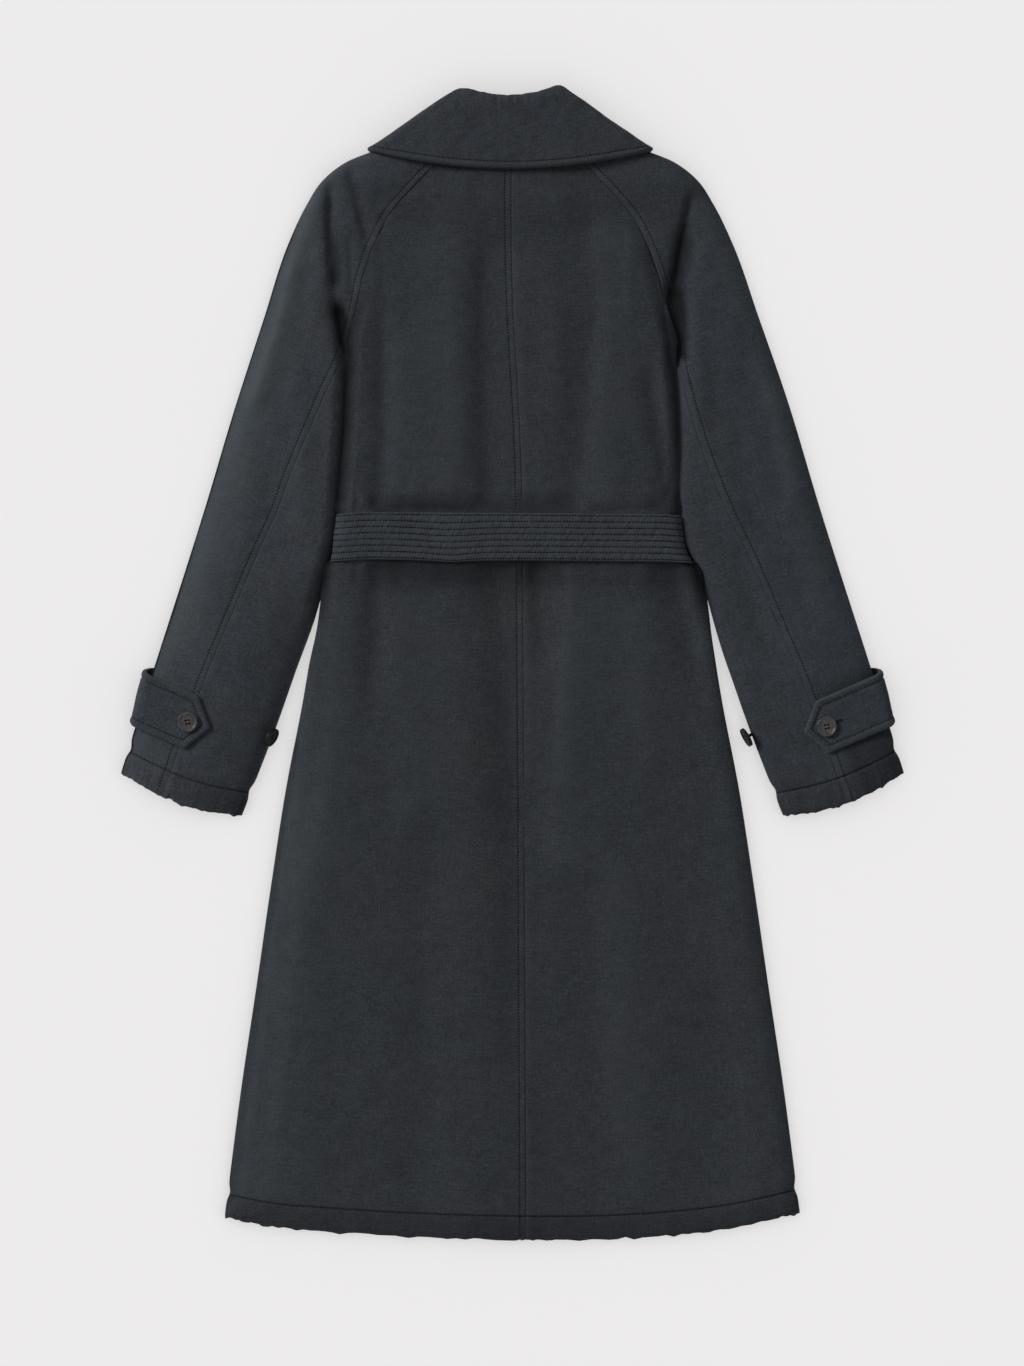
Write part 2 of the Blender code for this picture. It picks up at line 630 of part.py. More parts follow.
def make_belt(cloth):
    """Belt round the waist, sewn into channels, and closed with a plain seam at the hidden front."""
    half = BELT_WIDTH / 2
    stitched = np.linspace(half - BELT_EDGE, BELT_EDGE - half, BELT_ROWS)
    channels = (stitched[1:] + stitched[:-1]) / 2
    rows = np.concatenate([[half], np.sort(np.concatenate([stitched, channels]))[::-1], [-half]])
    puffed = np.concatenate([[0.0], np.arange(2 * BELT_ROWS - 1) % 2, [0.0]]) * BELT_PUFF
    middle = BELT_LIFT + STACK / 2
    outer, inner = [], []
    for row, puff in zip(rows, puffed):
        reach = float(edge_x(SIDE, BELT_Y + row)) - ROLL
        paths = []
        for wall, swell in ((BELT_WALL, puff), (0.0, 0.0)):
            side_x, side_z = wrap(ROLL + BELT_SLACK + wall + swell, STACK / 2 + REST_GAP + wall + swell)
            side_z = np.maximum(side_z, -middle)
            across = np.array([BELT_FLAT, LAP_END, LAP_FLAT, 0.0, -LAP_FLAT, -LAP_END, -BELT_FLAT])
            over = middle + side_z[0] + LAP_HEIGHT * lapped(across, BELT_Y + 0 * across)
            front = np.linspace(SEAM_GAP / 2, reach, BELT_FRONT_COLUMNS + 1)[:-1]
            floor = side_z[-1] + middle + 0 * front
            x = np.concatenate(
                [front, (reach + side_x)[::-1], across, -reach - side_x, -front[::-1]]
            )
            z = np.concatenate([floor, (side_z + middle)[::-1], over, side_z + middle, floor])
            paths.append(stacked(x, BELT_Y + row + BELT_TILT * x, z))
        outer.append(paths[0])
        inner.append(paths[1])
    wall_object("belt", np.array(outer), np.array(inner), cloth)


def roll_line_y(share):
    """Top of the collar, by share of its half width."""
    across = np.clip(share, -1.0, 1.0)
    return smooth_through([row.across for row in ROLL_LINE], [row.y for row in ROLL_LINE], across)


def collar_path(half_width, opening, wall, offset):
    """Points across a collar piece, from one front edge round the neck to the other, outside and inside.

    The offset is how far the piece lies inside the collar's outer surface.
    """
    middle = COLLAR_LIFT + STACK / 2
    paths = []
    for inset in (offset, offset + wall):
        side_x, side_z = wrap(COLLAR_FOLD - inset, middle - inset)
        reach = half_width - COLLAR_FOLD
        across = np.linspace(reach, -reach, COLLAR_TOP_COLUMNS + 1)[1:-1]
        over = 2 * middle - inset + COLLAR_DOME * (1 - (across / reach) ** 4)
        leaf = np.linspace(opening, reach, COLLAR_LEAF_COLUMNS + 1)[:-1]
        floor = inset + 0 * leaf
        x = np.concatenate([leaf, (reach + side_x)[::-1], across, -reach - side_x, -leaf[::-1]])
        z = np.concatenate([floor, (side_z + middle)[::-1], over, side_z + middle, floor])
        paths.append((x, z))
    return paths


def make_collar_fall(cloth):
    """Fall of the collar: over the back of the neck and round to two leaves under the fronts."""
    outer, inner = [], []
    for share in np.linspace(0.0, 1.0, COLLAR_ROWS + 1):
        half_width = COLLAR_TOP_HALF + (COLLAR_EDGE_HALF - COLLAR_TOP_HALF) * share
        half_width += COLLAR_BULGE * math.sin(math.pi * share)
        opening = COLLAR_OPENING + COLLAR_SPREAD * share
        paths = collar_path(half_width, opening, COLLAR_WALL, 0.0)
        for grid, (x, z) in zip((outer, inner), paths):
            across = x / half_width
            y = (1 - share) * roll_line_y(across) + share * collar_edge_y(x)
            grid.append(stacked(x, y, z))
    wall_object("collar_fall", np.array(outer), np.array(inner), cloth)


def make_collar_stand(cloth):
    """Stand of the collar, inside the fall, from the roll line down to the neck seam."""
    inset = COLLAR_WALL + STAND_CLEARANCE
    top_half = COLLAR_TOP_HALF - STAND_INSET
    neck_half = SHOULDER_EDGE[0].x + STAND_REACH
    outer, inner = [], []
    for share in np.linspace(0.0, 1.0, STAND_ROWS + 1):
        half_width = top_half + (neck_half - top_half) * share
        paths = collar_path(half_width, COLLAR_OPENING, STAND_WALL, inset)
        for grid, (x, z) in zip((outer, inner), paths):
            roll_y = roll_line_y(x / half_width) - STAND_DROP
            neck_y = NECK_Y + NECK_CURVE * x**2 + NECK_GAP
            grid.append(stacked(x, (1 - share) * roll_y + share * neck_y, z))
    wall_object("collar_stand", np.array(outer), np.array(inner), cloth)


def make_cuff_strap(side, cloth):
    """Pointed strap that lies on the cuff and loops round the sleeve's outer edge to its underside."""
    tip, outward, across = strap_frame(side)
    outer_edge = spaced_along(SLEEVE_OUTER, SLEEVE_STATIONS) * np.array([side, 1.0])
    edge_along = (outer_edge - tip) @ outward
    edge_across = (outer_edge - tip) @ across
    order = np.argsort(edge_across)
    top_inner = STRAP_LIFT + STACK + REST_GAP
    middle = (top_inner + STRAP_WALL) / 2
    outer, inner = [], []
    for row in STRAP_SHAPE:
        edge = float(np.interp(row.across, edge_across[order], edge_along[order]))
        centre = edge - STRAP_FOLD
        for grid, wall in ((outer, STRAP_WALL), (inner, 0.0)):
            loop_x, loop_z = wrap(STRAP_FOLD + row.bulge - STRAP_WALL + wall, middle - STRAP_WALL + wall)
            over = np.linspace(row.start, centre, STRAP_COLUMNS + 1)[:-1]
            under = np.linspace(centre, edge - STRAP_UNDER, 3)[1:]
            along = np.concatenate([over, centre + loop_x, under])
            z = np.concatenate([top_inner + wall + 0 * over, middle + loop_z, STRAP_WALL - wall + 0 * under])
            round_loop = np.linspace(0.0, 1.0, WRAP_COLUMNS + 1) ** 2
            slipped = STRAP_SKEW * np.concatenate([0 * over, round_loop, 1 + 0 * under])
            point = tip + along[:, None] * outward + (row.across - slipped)[:, None] * across
            grid.append(stacked(point[:, 0], point[:, 1], z))
    wall_object(side_name("cuff_strap", side), np.array(outer), np.array(inner), cloth)


def button_object(name, centre, normal, stem, horn):
    """A turned button with a raised rim, its back at the given centre, on a thread stem if it has one."""
    profile = [(row.radius * BUTTON_RADIUS, row.height * BUTTON_THICK) for row in BUTTON_PROFILE]
    profile += [(STEM_RADIUS, 0.0), (STEM_RADIUS, -stem), (0.0, -stem)] if stem else [(0.0, 0.0)]
    mesh = bmesh.new()
    points = [mesh.verts.new((x, 0.0, z)) for x, z in profile]
    for first, second in zip(points, points[1:]):
        mesh.edges.new((first, second))
    bmesh.ops.spin(
        mesh,
        geom=mesh.verts[:] + mesh.edges[:],
        cent=(0, 0, 0),
        axis=(0, 0, 1),
        angle=2 * math.pi,
        steps=BUTTON_SIDES,
    )
    bmesh.ops.remove_doubles(mesh, verts=mesh.verts[:], dist=1e-6)
    bmesh.ops.recalc_face_normals(mesh, faces=mesh.faces[:])
    turn = Vector((0, 0, 1)).rotation_difference(Vector(normal))
    button = linked_object(name, mesh, horn)
    button.data.transform(Matrix.Translation(Vector(centre)) @ turn.to_matrix().to_4x4())
    return button


def make_strap_button(side, horn):
    tip, outward, across = strap_frame(side)
    place = tip + BUTTON_REACH * outward + BUTTON_DROP * across
    height = STRAP_LIFT + STACK + REST_GAP + STRAP_WALL + SEAM_GAP
    button_object(side_name("strap_button", side), (place[0], place[1], height), (0, 0, 1), 0.0, horn)


def make_edge_button(row, horn):
    """Second cuff button, sewn on the sleeve's inner edge and tipped over by the fold that it sits on."""
    short_way = 0.005
    x = float(edge_x(SLEEVE_INNER, row.y))
    slope = float(edge_x(SLEEVE_INNER, row.y + short_way)) - x
    away = np.array([-row.side * short_way, slope])
    away = away / np.hypot(*away)
    tilt = math.radians(row.tilt)
    turned = math.radians(row.round)
    normal = np.array([*(away * math.sin(tilt)), math.cos(tilt)])
    fold_half = STACK / 2
    on_fold = np.array([row.side * x, row.y, sleeve_lift(row.side * x, row.y, row.side) + fold_half])
    on_fold[:2] -= away * (ROLL * (1 - math.cos(turned)) + row.seat)
    on_fold[2] += fold_half * math.sin(turned)
    back = on_fold + normal * (row.stem + SEAM_GAP)
    button_object(side_name("edge_button", row.side), back, normal, row.stem, horn)


def new_material(name, colour, roughness):
    material = bpy.data.materials.new(name)
    material.use_nodes = True
    shader = material.node_tree.nodes["Principled BSDF"]
    shader.inputs["Base Color"].default_value = (*colour, 1.0)
    shader.inputs["Roughness"].default_value = roughness
    shader.inputs["Metallic"].default_value = 0.0
    return material


for old in list(bpy.data.objects):
    bpy.data.objects.remove(old, do_unlink=True)
PARTS = bpy.data.collections.new("padded_trench_coat")
bpy.context.scene.collection.children.link(PARTS)

CLOTH = new_material("charcoal_cloth", (0.031, 0.034, 0.039), 0.85)
HORN = new_material("dark_horn", (0.018, 0.014, 0.012), 0.35)

for SIDE_SIGN in (-1, 1):
    make_back(SIDE_SIGN, CLOTH)
    make_front(SIDE_SIGN, CLOTH)
    make_top_sleeve(SIDE_SIGN, CLOTH)
    make_under_sleeve(SIDE_SIGN, CLOTH)
    make_cuff_strap(SIDE_SIGN, CLOTH)
    make_strap_button(SIDE_SIGN, HORN)
for BUTTON_ROW in EDGE_BUTTONS:
    make_edge_button(BUTTON_ROW, HORN)
make_collar_fall(CLOTH)
make_collar_stand(CLOTH)
make_belt(CLOTH)
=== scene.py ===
"""Looks of a padded raglan trench coat that lies flat on its front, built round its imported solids.

Metres. X runs across the coat, Y from the hem up to the collar, Z up from the floor.
"""

import math
from collections import namedtuple

import bmesh
import bpy
import numpy as np
from mathutils import Matrix, Vector, noise


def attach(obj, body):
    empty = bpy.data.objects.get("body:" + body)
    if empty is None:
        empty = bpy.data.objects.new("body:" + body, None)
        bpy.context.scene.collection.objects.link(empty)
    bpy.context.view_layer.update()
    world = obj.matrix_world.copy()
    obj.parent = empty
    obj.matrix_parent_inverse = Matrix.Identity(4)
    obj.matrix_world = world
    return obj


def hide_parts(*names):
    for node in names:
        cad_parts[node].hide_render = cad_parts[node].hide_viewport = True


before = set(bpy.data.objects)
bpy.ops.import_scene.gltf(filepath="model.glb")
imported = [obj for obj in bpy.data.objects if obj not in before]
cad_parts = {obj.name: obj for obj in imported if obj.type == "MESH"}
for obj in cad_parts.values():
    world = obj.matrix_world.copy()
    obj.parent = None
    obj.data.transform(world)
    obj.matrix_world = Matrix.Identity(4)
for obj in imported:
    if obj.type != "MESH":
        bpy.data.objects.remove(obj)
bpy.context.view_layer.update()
bpy.ops.object.select_all(action="DESELECT")

# Shell cloth. Tightly woven cotton, dyed charcoal navy and washed until its face is peached and mottled.
# Each panel was cut from another place in the bolt, so each reads the mottle at its own offset and turn.
CLOTH_FINISH = {
    "Roughness": 0.80,
    "Specular IOR Level": 0.10,
    "Sheen Weight": 0.06,
    "Sheen Roughness": 0.40,
    "Sheen Tint": (0.72, 0.82, 0.90, 1.0),
}
Shade = namedtuple("Shade", "stop colour")
CLOTH_SHADES = [
    Shade(stop=0.365, colour=(0.0140, 0.0150, 0.0184)),
    Shade(stop=0.500, colour=(0.0222, 0.0248, 0.0294)),
    Shade(stop=0.635, colour=(0.0326, 0.0390, 0.0440)),
]
UNEVEN_DYE = [
    Shade(stop=0.25, colour=(0.950, 1.000, 1.020)),
    Shade(stop=0.50, colour=(1.000, 1.000, 1.000)),
    Shade(stop=0.75, colour=(1.030, 0.940, 0.880)),
]
# Fine crease lines darken the cloth along thin wandering lines: painted shade in small creases, with a bump
# to match.
CREASE_SHADES = [
    Shade(stop=0.000, colour=(0.0, 0.0, 0.0)),
    Shade(stop=0.010, colour=(0.7, 0.7, 0.7)),
    Shade(stop=0.035, colour=(1.0, 1.0, 1.0)),
]
# The light colour is laid on where the cloth is rubbed, along edges, seams and ridges, and also as a painted
# highlight along the left edges and the belt's lower edge. The dark colour is painted shade.
WORN_AND_LIT_COLOUR = (0.0450, 0.0535, 0.0585, 1.0)
PAINTED_SHADE_COLOUR = (0.0018, 0.0027, 0.0036, 1.0)
Pattern = namedtuple("Pattern", "size detail rough")
PATCHES = Pattern(size=0.070, detail=3.0, rough=0.55)
MOTTLE = Pattern(size=0.020, detail=3.0, rough=0.60)
NAP = Pattern(size=0.0018, detail=2.0, rough=0.60)
WEFT = Pattern(size=0.012, detail=2.0, rough=0.60)
WARP = Pattern(size=0.016, detail=2.0, rough=0.60)
WANDER = Pattern(size=0.034, detail=1.6, rough=0.50)
ALONG_WEFT = (1.0, 8.0, 1.0)
ALONG_WARP = (8.0, 1.0, 1.0)
ALONG_CREASE = (1.0, 2.2, 1.0)
CREASE_TURN = 0.3
CREASE_LEVEL = 0.5
CREASE_SHARE = 0.14
WEFT_SHARE = 0.58
NAP_SHARE = 0.55
GRAIN_SHARE = 0.84
MOTTLE_SHARE = 0.10
PATCH_SHARE = 0.06
PATCH_WARMTH = 0.5
Bump = namedtuple("Bump", "strength depth")
CRUMPLED = Bump(strength=0.22, depth=0.0012)
CREASED = Bump(strength=0.15, depth=0.0005)
GRAINED = Bump(strength=0.50, depth=0.0006)


def linked_node(tree, kind, output, sockets, **settings):
    """One output of a new node, whose sockets take other nodes' outputs or plain values."""
    node = tree.nodes.new(kind)
    for setting, value in settings.items():
        setattr(node, setting, value)
    for socket, value in sockets.items():
        if isinstance(value, bpy.types.NodeSocket):
            tree.links.new(value, node.inputs[socket])
        else:
            node.inputs[socket].default_value = value
    return node.outputs[output]


def placed_node(tree, shift, turn, stretch=(1.0, 1.0, 1.0)):
    """Object coordinates, moved and turned, and squeezed where a pattern runs in threads."""
    source = linked_node(tree, "ShaderNodeTexCoord", "Object", {})
    sockets = {"Vector": source, "Location": shift, "Rotation": (0.0, 0.0, turn)}
    sockets["Scale"] = [1 / amount for amount in stretch]
    return linked_node(tree, "ShaderNodeMapping", "Vector", sockets, vector_type="TEXTURE")


def noise_node(tree, place, pattern):
    """Noise whose lumps are about the pattern's size."""
    sockets = {"Vector": place, "Scale": 1 / pattern.size}
    sockets.update({"Detail": pattern.detail, "Roughness": pattern.rough})
    return linked_node(tree, "ShaderNodeTexNoise", "Fac", sockets)


def weighed_node(tree, *parts):
    """Sum of values, each times its weight."""
    total = 0.0
    for value, weight in parts:
        sockets = {0: value, 1: weight, 2: total}
        total = linked_node(tree, "ShaderNodeMath", 0, sockets, operation="MULTIPLY_ADD")
    return total


def ramp_node(tree, value, shades, tone=1.0):
    """Colours read off a row of shades, all of them lighter or darker by the tone."""
    node = tree.nodes.new("ShaderNodeValToRGB")
    ramp = node.color_ramp
    while len(ramp.elements) < len(shades):
        ramp.elements.new(0.5)
    for element, shade in zip(ramp.elements, shades):
        element.position = shade.stop
        element.color = (*(tone * part for part in shade.colour), 1.0)
    tree.links.new(value, node.inputs["Fac"])
    return node.outputs["Color"]


def layered_node(tree, share, under, over, way="MIX"):
    """A colour with another one laid over it, or multiplied into it, as far as the share says."""
    sockets = {"Factor": share, "A": under, "B": over}
    return linked_node(tree, "ShaderNodeMix", "Result", sockets, data_type="RGBA", blend_type=way)


def bump_node(tree, *layers):
    """Normal of a surface with bumps on it, each laid over the one before."""
    sockets = {}
    for height, bump in layers:
        sockets.update({"Height": height, "Strength": bump.strength, "Distance": bump.depth})
        sockets["Normal"] = linked_node(tree, "ShaderNodeBump", "Normal", sockets)
    return sockets["Normal"]


def new_material(name, finish):
    """A material with the given values on its shader's sockets, and its tree of nodes."""
    material = bpy.data.materials.new(name)
    material.use_nodes = True
    for socket, value in finish.items():
        material.node_tree.nodes["Principled BSDF"].inputs[socket].default_value = value
    return material, material.node_tree


def dress(tree, colour, normal):
    """Links a colour and a normal to a material's shader."""
    shader = tree.nodes["Principled BSDF"]
    tree.links.new(colour, shader.inputs["Base Color"])
    tree.links.new(normal, shader.inputs["Normal"])


def washed_cloth(name, shift, turn, tone=1.0):
    """The cloth of one panel. Its tone makes it lighter or darker; the left sleeve and strap get a lighter
    tone than the right ones as painted light from the left.
    """
    material, tree = new_material(name, CLOTH_FINISH)
    place = placed_node(tree, shift, turn)
    patches = noise_node(tree, place, PATCHES)
    mottle = noise_node(tree, place, MOTTLE)
    nap = noise_node(tree, place, NAP)
    weft = noise_node(tree, placed_node(tree, shift, turn, ALONG_WEFT), WEFT)
    warp = noise_node(tree, placed_node(tree, shift, turn, ALONG_WARP), WARP)
    woven = weighed_node(tree, (weft, WEFT_SHARE), (warp, 1 - WEFT_SHARE))
    grain = weighed_node(tree, (nap, NAP_SHARE), (woven, 1 - NAP_SHARE))
    shade = weighed_node(tree, (grain, GRAIN_SHARE), (mottle, MOTTLE_SHARE), (patches, PATCH_SHARE))
    dyed = ramp_node(tree, shade, CLOTH_SHADES, tone)
    # One point attribute carries both: above zero it lightens for rubbing and painted highlight, below zero
    # it darkens with painted shade in valleys, folds, turned hems and the belt's shadow.
    wear_and_painted_light = linked_node(tree, "ShaderNodeAttribute", "Fac", {}, attribute_name="wear_and_painted_light")
    pale = layered_node(tree, wear_and_painted_light, dyed, WORN_AND_LIT_COLOUR)
    painted_shade = layered_node(tree, weighed_node(tree, (wear_and_painted_light, -1.0)), pale, PAINTED_SHADE_COLOUR)
    warmth = linked_node(tree, "ShaderNodeAttribute", "Fac", {}, attribute_name="warmth")
    tint = ramp_node(tree, weighed_node(tree, (warmth, 1.0), (patches, PATCH_WARMTH)), UNEVEN_DYE)
    tinted = layered_node(tree, 1.0, painted_shade, tint, "MULTIPLY")
    # Painted shade along fine creases, also bumped.
    wander = noise_node(tree, placed_node(tree, shift, turn + CREASE_TURN, ALONG_CREASE), WANDER)
    beside = linked_node(tree, "ShaderNodeMath", 0, {0: wander, 1: CREASE_LEVEL}, operation="SUBTRACT")
    apart = linked_node(tree, "ShaderNodeMath", 0, {0: beside}, operation="ABSOLUTE")
    crease = ramp_node(tree, apart, CREASE_SHADES)
    normal = bump_node(tree, (mottle, CRUMPLED), (crease, CREASED), (grain, GRAINED))
    dress(tree, layered_node(tree, CREASE_SHARE, tinted, crease, "MULTIPLY"), normal)
    return material


# Sewing. Fine, dark plum-brown thread in a straight lockstitch of about 3 mm, pulled into the cloth.
# Each stitch is a slim spindle, and the stitches of one piece of cloth are joined in one mesh. They are
# moved as their cloth is: the shoulders lie a little to the left, and the sleeves slide in at the waist.
STITCH_PITCH = 0.0031
STITCH_LENGTH = 0.0022
STITCH_PROBE = 0.001
THREAD_RADIUS = 0.00052
THREAD_SIDES = 5
THREAD_RISE = 0.9
THREAD_SUNK = 0.6
Ring = namedtuple("Ring", "reach thick")
SPINDLE = [
    Ring(reach=-0.50, thick=0.35),
    Ring(reach=-0.26, thick=1.00),
    Ring(reach=0.26, thick=1.00),
    Ring(reach=0.50, thick=0.35),
]
THREAD_FINISH = {"Roughness": 0.85, "Specular IOR Level": 0.05}
THREAD_SHADES = [
    Shade(stop=0.35, colour=(0.0040, 0.0030, 0.0040)),
    Shade(stop=0.65, colour=(0.0105, 0.0080, 0.0095)),
]
STRANDS = Pattern(size=0.0011, detail=2.0, rough=0.5)
TWISTED = Bump(strength=0.4, depth=0.0002)
UP = np.array([0.0, 0.0, 1.0])
LEAN = -0.0024
LEAN_SPAN = (0.25, 0.50)
Point = namedtuple("Point", "x y")
UNDERARM = Point(x=0.172, y=0.332)
SIDE_SLOPE = 0.075
SLIP_SPREAD = 0.026
Slip = namedtuple("Slip", "side reach top full low gone")
SLIPS = [
    Slip(side=-1, reach=0.0040, top=0.345, full=0.305, low=0.050, gone=-0.010),
    Slip(side=1, reach=0.0045, top=0.345, full=0.305, low=0.112, gone=0.090),
    Slip(side=1, reach=0.0075, top=0.245, full=0.155, low=0.130, gone=0.092),
]


def step(start, end, value):
    """0 before start, 1 after end, and a smooth climb between them."""
    share = np.clip((value - start) / (end - start), 0.0, 1.0)
    return share * share * (3 - 2 * share)


def groove(distance, width):
    """1 on a line, falling softly to 0 at about twice the width from it."""
    return np.exp(-((distance / width) ** 2))


def unit(vectors):
    return vectors / np.linalg.norm(vectors, axis=-1, keepdims=True)


def leaned(points):
    """The given points, moved sideways as the coat lies."""
    moved = np.array(points, float)
    x, y = points[..., 0], points[..., 1]
    for slip in SLIPS:
        slid = slip.reach * step(slip.top, slip.full, y) * step(slip.gone, slip.low, y)
        from_line = slip.side * x - UNDERARM.x - SIDE_SLOPE * (UNDERARM.y - y)
        moved[..., 0] -= slip.side * slid * groove(from_line, SLIP_SPREAD)
    moved[..., 0] += LEAN * step(*LEAN_SPAN, y)
    return moved


def clouded_material(name, finish, turn, clouds, shades, fine, bump, tone=1.0):
    """A material with clouds of colour and a fine grain."""
    material, tree = new_material(name, finish)
    place = placed_node(tree, (0.0, 0.0, 0.0), turn)
    colour = ramp_node(tree, noise_node(tree, place, clouds), shades, tone)
    dress(tree, colour, bump_node(tree, (noise_node(tree, place, fine), bump)))
    return material


THREAD = clouded_material("plum_thread", THREAD_FINISH, 0.0, STRANDS, THREAD_SHADES, STRANDS, TWISTED)


def new_piece(name, points, faces, material):
    """A smooth piece of the given points and faces, all facing outwards."""
    mesh = bpy.data.meshes.new(name)
    mesh.from_pydata(points.tolist(), [], faces)
    facing = bmesh.new()
    facing.from_mesh(mesh)
    bmesh.ops.recalc_face_normals(facing, faces=facing.faces[:])
    facing.to_mesh(mesh)
    facing.free()
    mesh.shade_smooth()
    mesh.materials.append(material)
    piece = bpy.data.objects.new(name, mesh)
    bpy.context.scene.collection.objects.link(piece)
    return piece


def even_stitches(line, facing):
    """Middles, directions and facings of stitches spaced evenly along a line."""
    lengths = np.concatenate([[0.0], np.cumsum(np.linalg.norm(np.diff(line, axis=0), axis=1))])
    count = max(1, int(lengths[-1] / STITCH_PITCH))
    at = (np.arange(count) + 0.5) * lengths[-1] / count

    def read(rows, shift=0.0):
        return np.stack([np.interp(at + shift, lengths, axis) for axis in rows.T], axis=1)

    ahead = unit(read(line, STITCH_PROBE) - read(line, -STITCH_PROBE))
    out = read(np.broadcast_to(facing, line.shape))
    return read(line), ahead, unit(out - ahead * (out * ahead).sum(axis=1, keepdims=True))


def sewing(name, lines, radius=THREAD_RADIUS):
    """Stitches along each line, given as points and the direction that the cloth faces there."""
    rows = [even_stitches(line, facing) for line, facing in lines]
    middle, ahead, out = (np.concatenate(part) for part in zip(*rows))
    across = np.cross(ahead, out)
    angles = np.linspace(0.0, 2 * math.pi, THREAD_SIDES, endpoint=False)
    rings = []
    for ring in SPINDLE:
        raised = radius * (THREAD_RISE * ring.thick - THREAD_SUNK)
        centre = middle + ahead * ring.reach * STITCH_LENGTH + out * raised
        turned = [centre + radius * ring.thick * (math.cos(a) * across + math.sin(a) * out) for a in angles]
        rings.append(np.stack(turned, axis=1))
    points = leaned(np.stack(rings, axis=1).reshape(-1, 3))
    corner = np.arange(len(SPINDLE) * THREAD_SIDES).reshape(len(SPINDLE), THREAD_SIDES)
    after = np.roll(corner, -1, axis=1)
    each = np.stack([corner[:-1], after[:-1], after[1:], corner[1:]], axis=-1).reshape(-1, 4).tolist()
    each += [corner[0, ::-1].tolist(), corner[-1].tolist()]
    firsts = range(0, len(points), corner.size)
    faces = [[first + at for at in face] for first in firsts for face in each]
    piece = new_piece(name, points, faces, THREAD)
    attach(piece, "root")
    return piece


# Back. Two panels of padded cloth, seamed down the middle, with a row of topstitching on the left one.
# They lie on the fronts, roll down to the side seams, and end in a turned, stitched hem that puckers.
WALL = 0.007
SEAM_WALL = 0.002
LEAST_WALL = 0.0012
LAYER_GAP = 0.001
SEAM_GAP = 0.0003
SEAM_TUCK = 0.0003
REST_GAP = 0.0006
ROLL = 0.018
STACK = 2 * WALL + LAYER_GAP
HEM_Y = -0.600
HEM_DEPTH = 0.025
HEM_BLEND = (0.0, 0.05)
EDGE_ROUND = 0.006
EDGE_SHARE = 0.12
NECK_Y = 0.548
NECK_CURVE = 1.41
NECK_BLEND_Y = 0.513
LAP_FLAT = 0.049
LAP_END = 0.085
LAP_MARGIN = 0.020
FACING_WALL = 0.0042
LAP_HEIGHT = 2 * FACING_WALL + LAYER_GAP - WALL
FULL_ROLL_Y = 0.332
NO_ROLL_Y = 0.395
BESIDE_LOW = (0.020, 0.080)
BESIDE_HIGH = (0.340, 0.385)
BELT_Y = 0.1315
BELT_WIDTH = 0.0495
BELT_LIFT = 0.0036
BELT_MARGIN = 0.003
BELT_EASE = 0.028
COLLAR_LIFT = 0.0064
COLLAR_EDGE_Y = 0.513
COLLAR_EDGE_RISE = 0.0205
COLLAR_EDGE_HALF = 0.1522
LEAF_DEPTH = 0.026
LEAF_EASE = 0.050
STITCH_INSET = 0.0068
VALLEY = 0.016
HOLLOW_CURVE = 1.2
SHARP_ANGLE = math.radians(70)

RAGLAN = [
    Point(x=0.0500, y=0.5516),
    Point(x=0.0782, y=0.5187),
    Point(x=0.1043, y=0.4916),
    Point(x=0.1298, y=0.4603),
    Point(x=0.1428, y=0.4343),
    Point(x=0.1543, y=0.4020),
    Point(x=0.1625, y=0.3650),
    Point(x=0.1720, y=0.3320),
]
SIDE = [
    Point(x=0.1711, y=0.3320),
    Point(x=0.1758, y=0.2852),
    Point(x=0.1784, y=0.2330),
    Point(x=0.1834, y=0.1809),
    Point(x=0.1838, y=0.1700),
    Point(x=0.1823, y=0.1580),
    Point(x=0.1845, y=0.1340),
    Point(x=0.1893, y=0.1050),
    Point(x=0.1972, y=0.0920),
    Point(x=0.2022, y=0.0610),
    Point(x=0.2189, y=-0.0433),
    Point(x=0.2351, y=-0.1267),
    Point(x=0.2513, y=-0.2309),
    Point(x=0.2664, y=-0.3352),
    Point(x=0.2820, y=-0.4395),
    Point(x=0.2992, y=-0.5720),
]
CENTRE_SEAM = [
    Point(x=0.0014, y=0.5480),
    Point(x=0.0018, y=0.3800),
    Point(x=0.0095, y=0.2000),
    Point(x=0.0110, y=0.0450),
    Point(x=0.0145, y=-0.6000),
]
Hem = namedtuple("Hem", "across rise")
HEM = [
    Hem(across=-1.00, rise=0.0232),
    Hem(across=-0.83, rise=0.0136),
    Hem(across=-0.62, rise=0.0083),
    Hem(across=-0.41, rise=0.0042),
    Hem(across=-0.15, rise=0.0014),
    Hem(across=0.10, rise=0.0000),
    Hem(across=0.32, rise=0.0006),
    Hem(across=0.53, rise=0.0042),
    Hem(across=0.74, rise=0.0112),
    Hem(across=1.00, rise=0.0280),
]
Fold = namedtuple("Fold", "x0 y0 x1 y1 bend left right height")
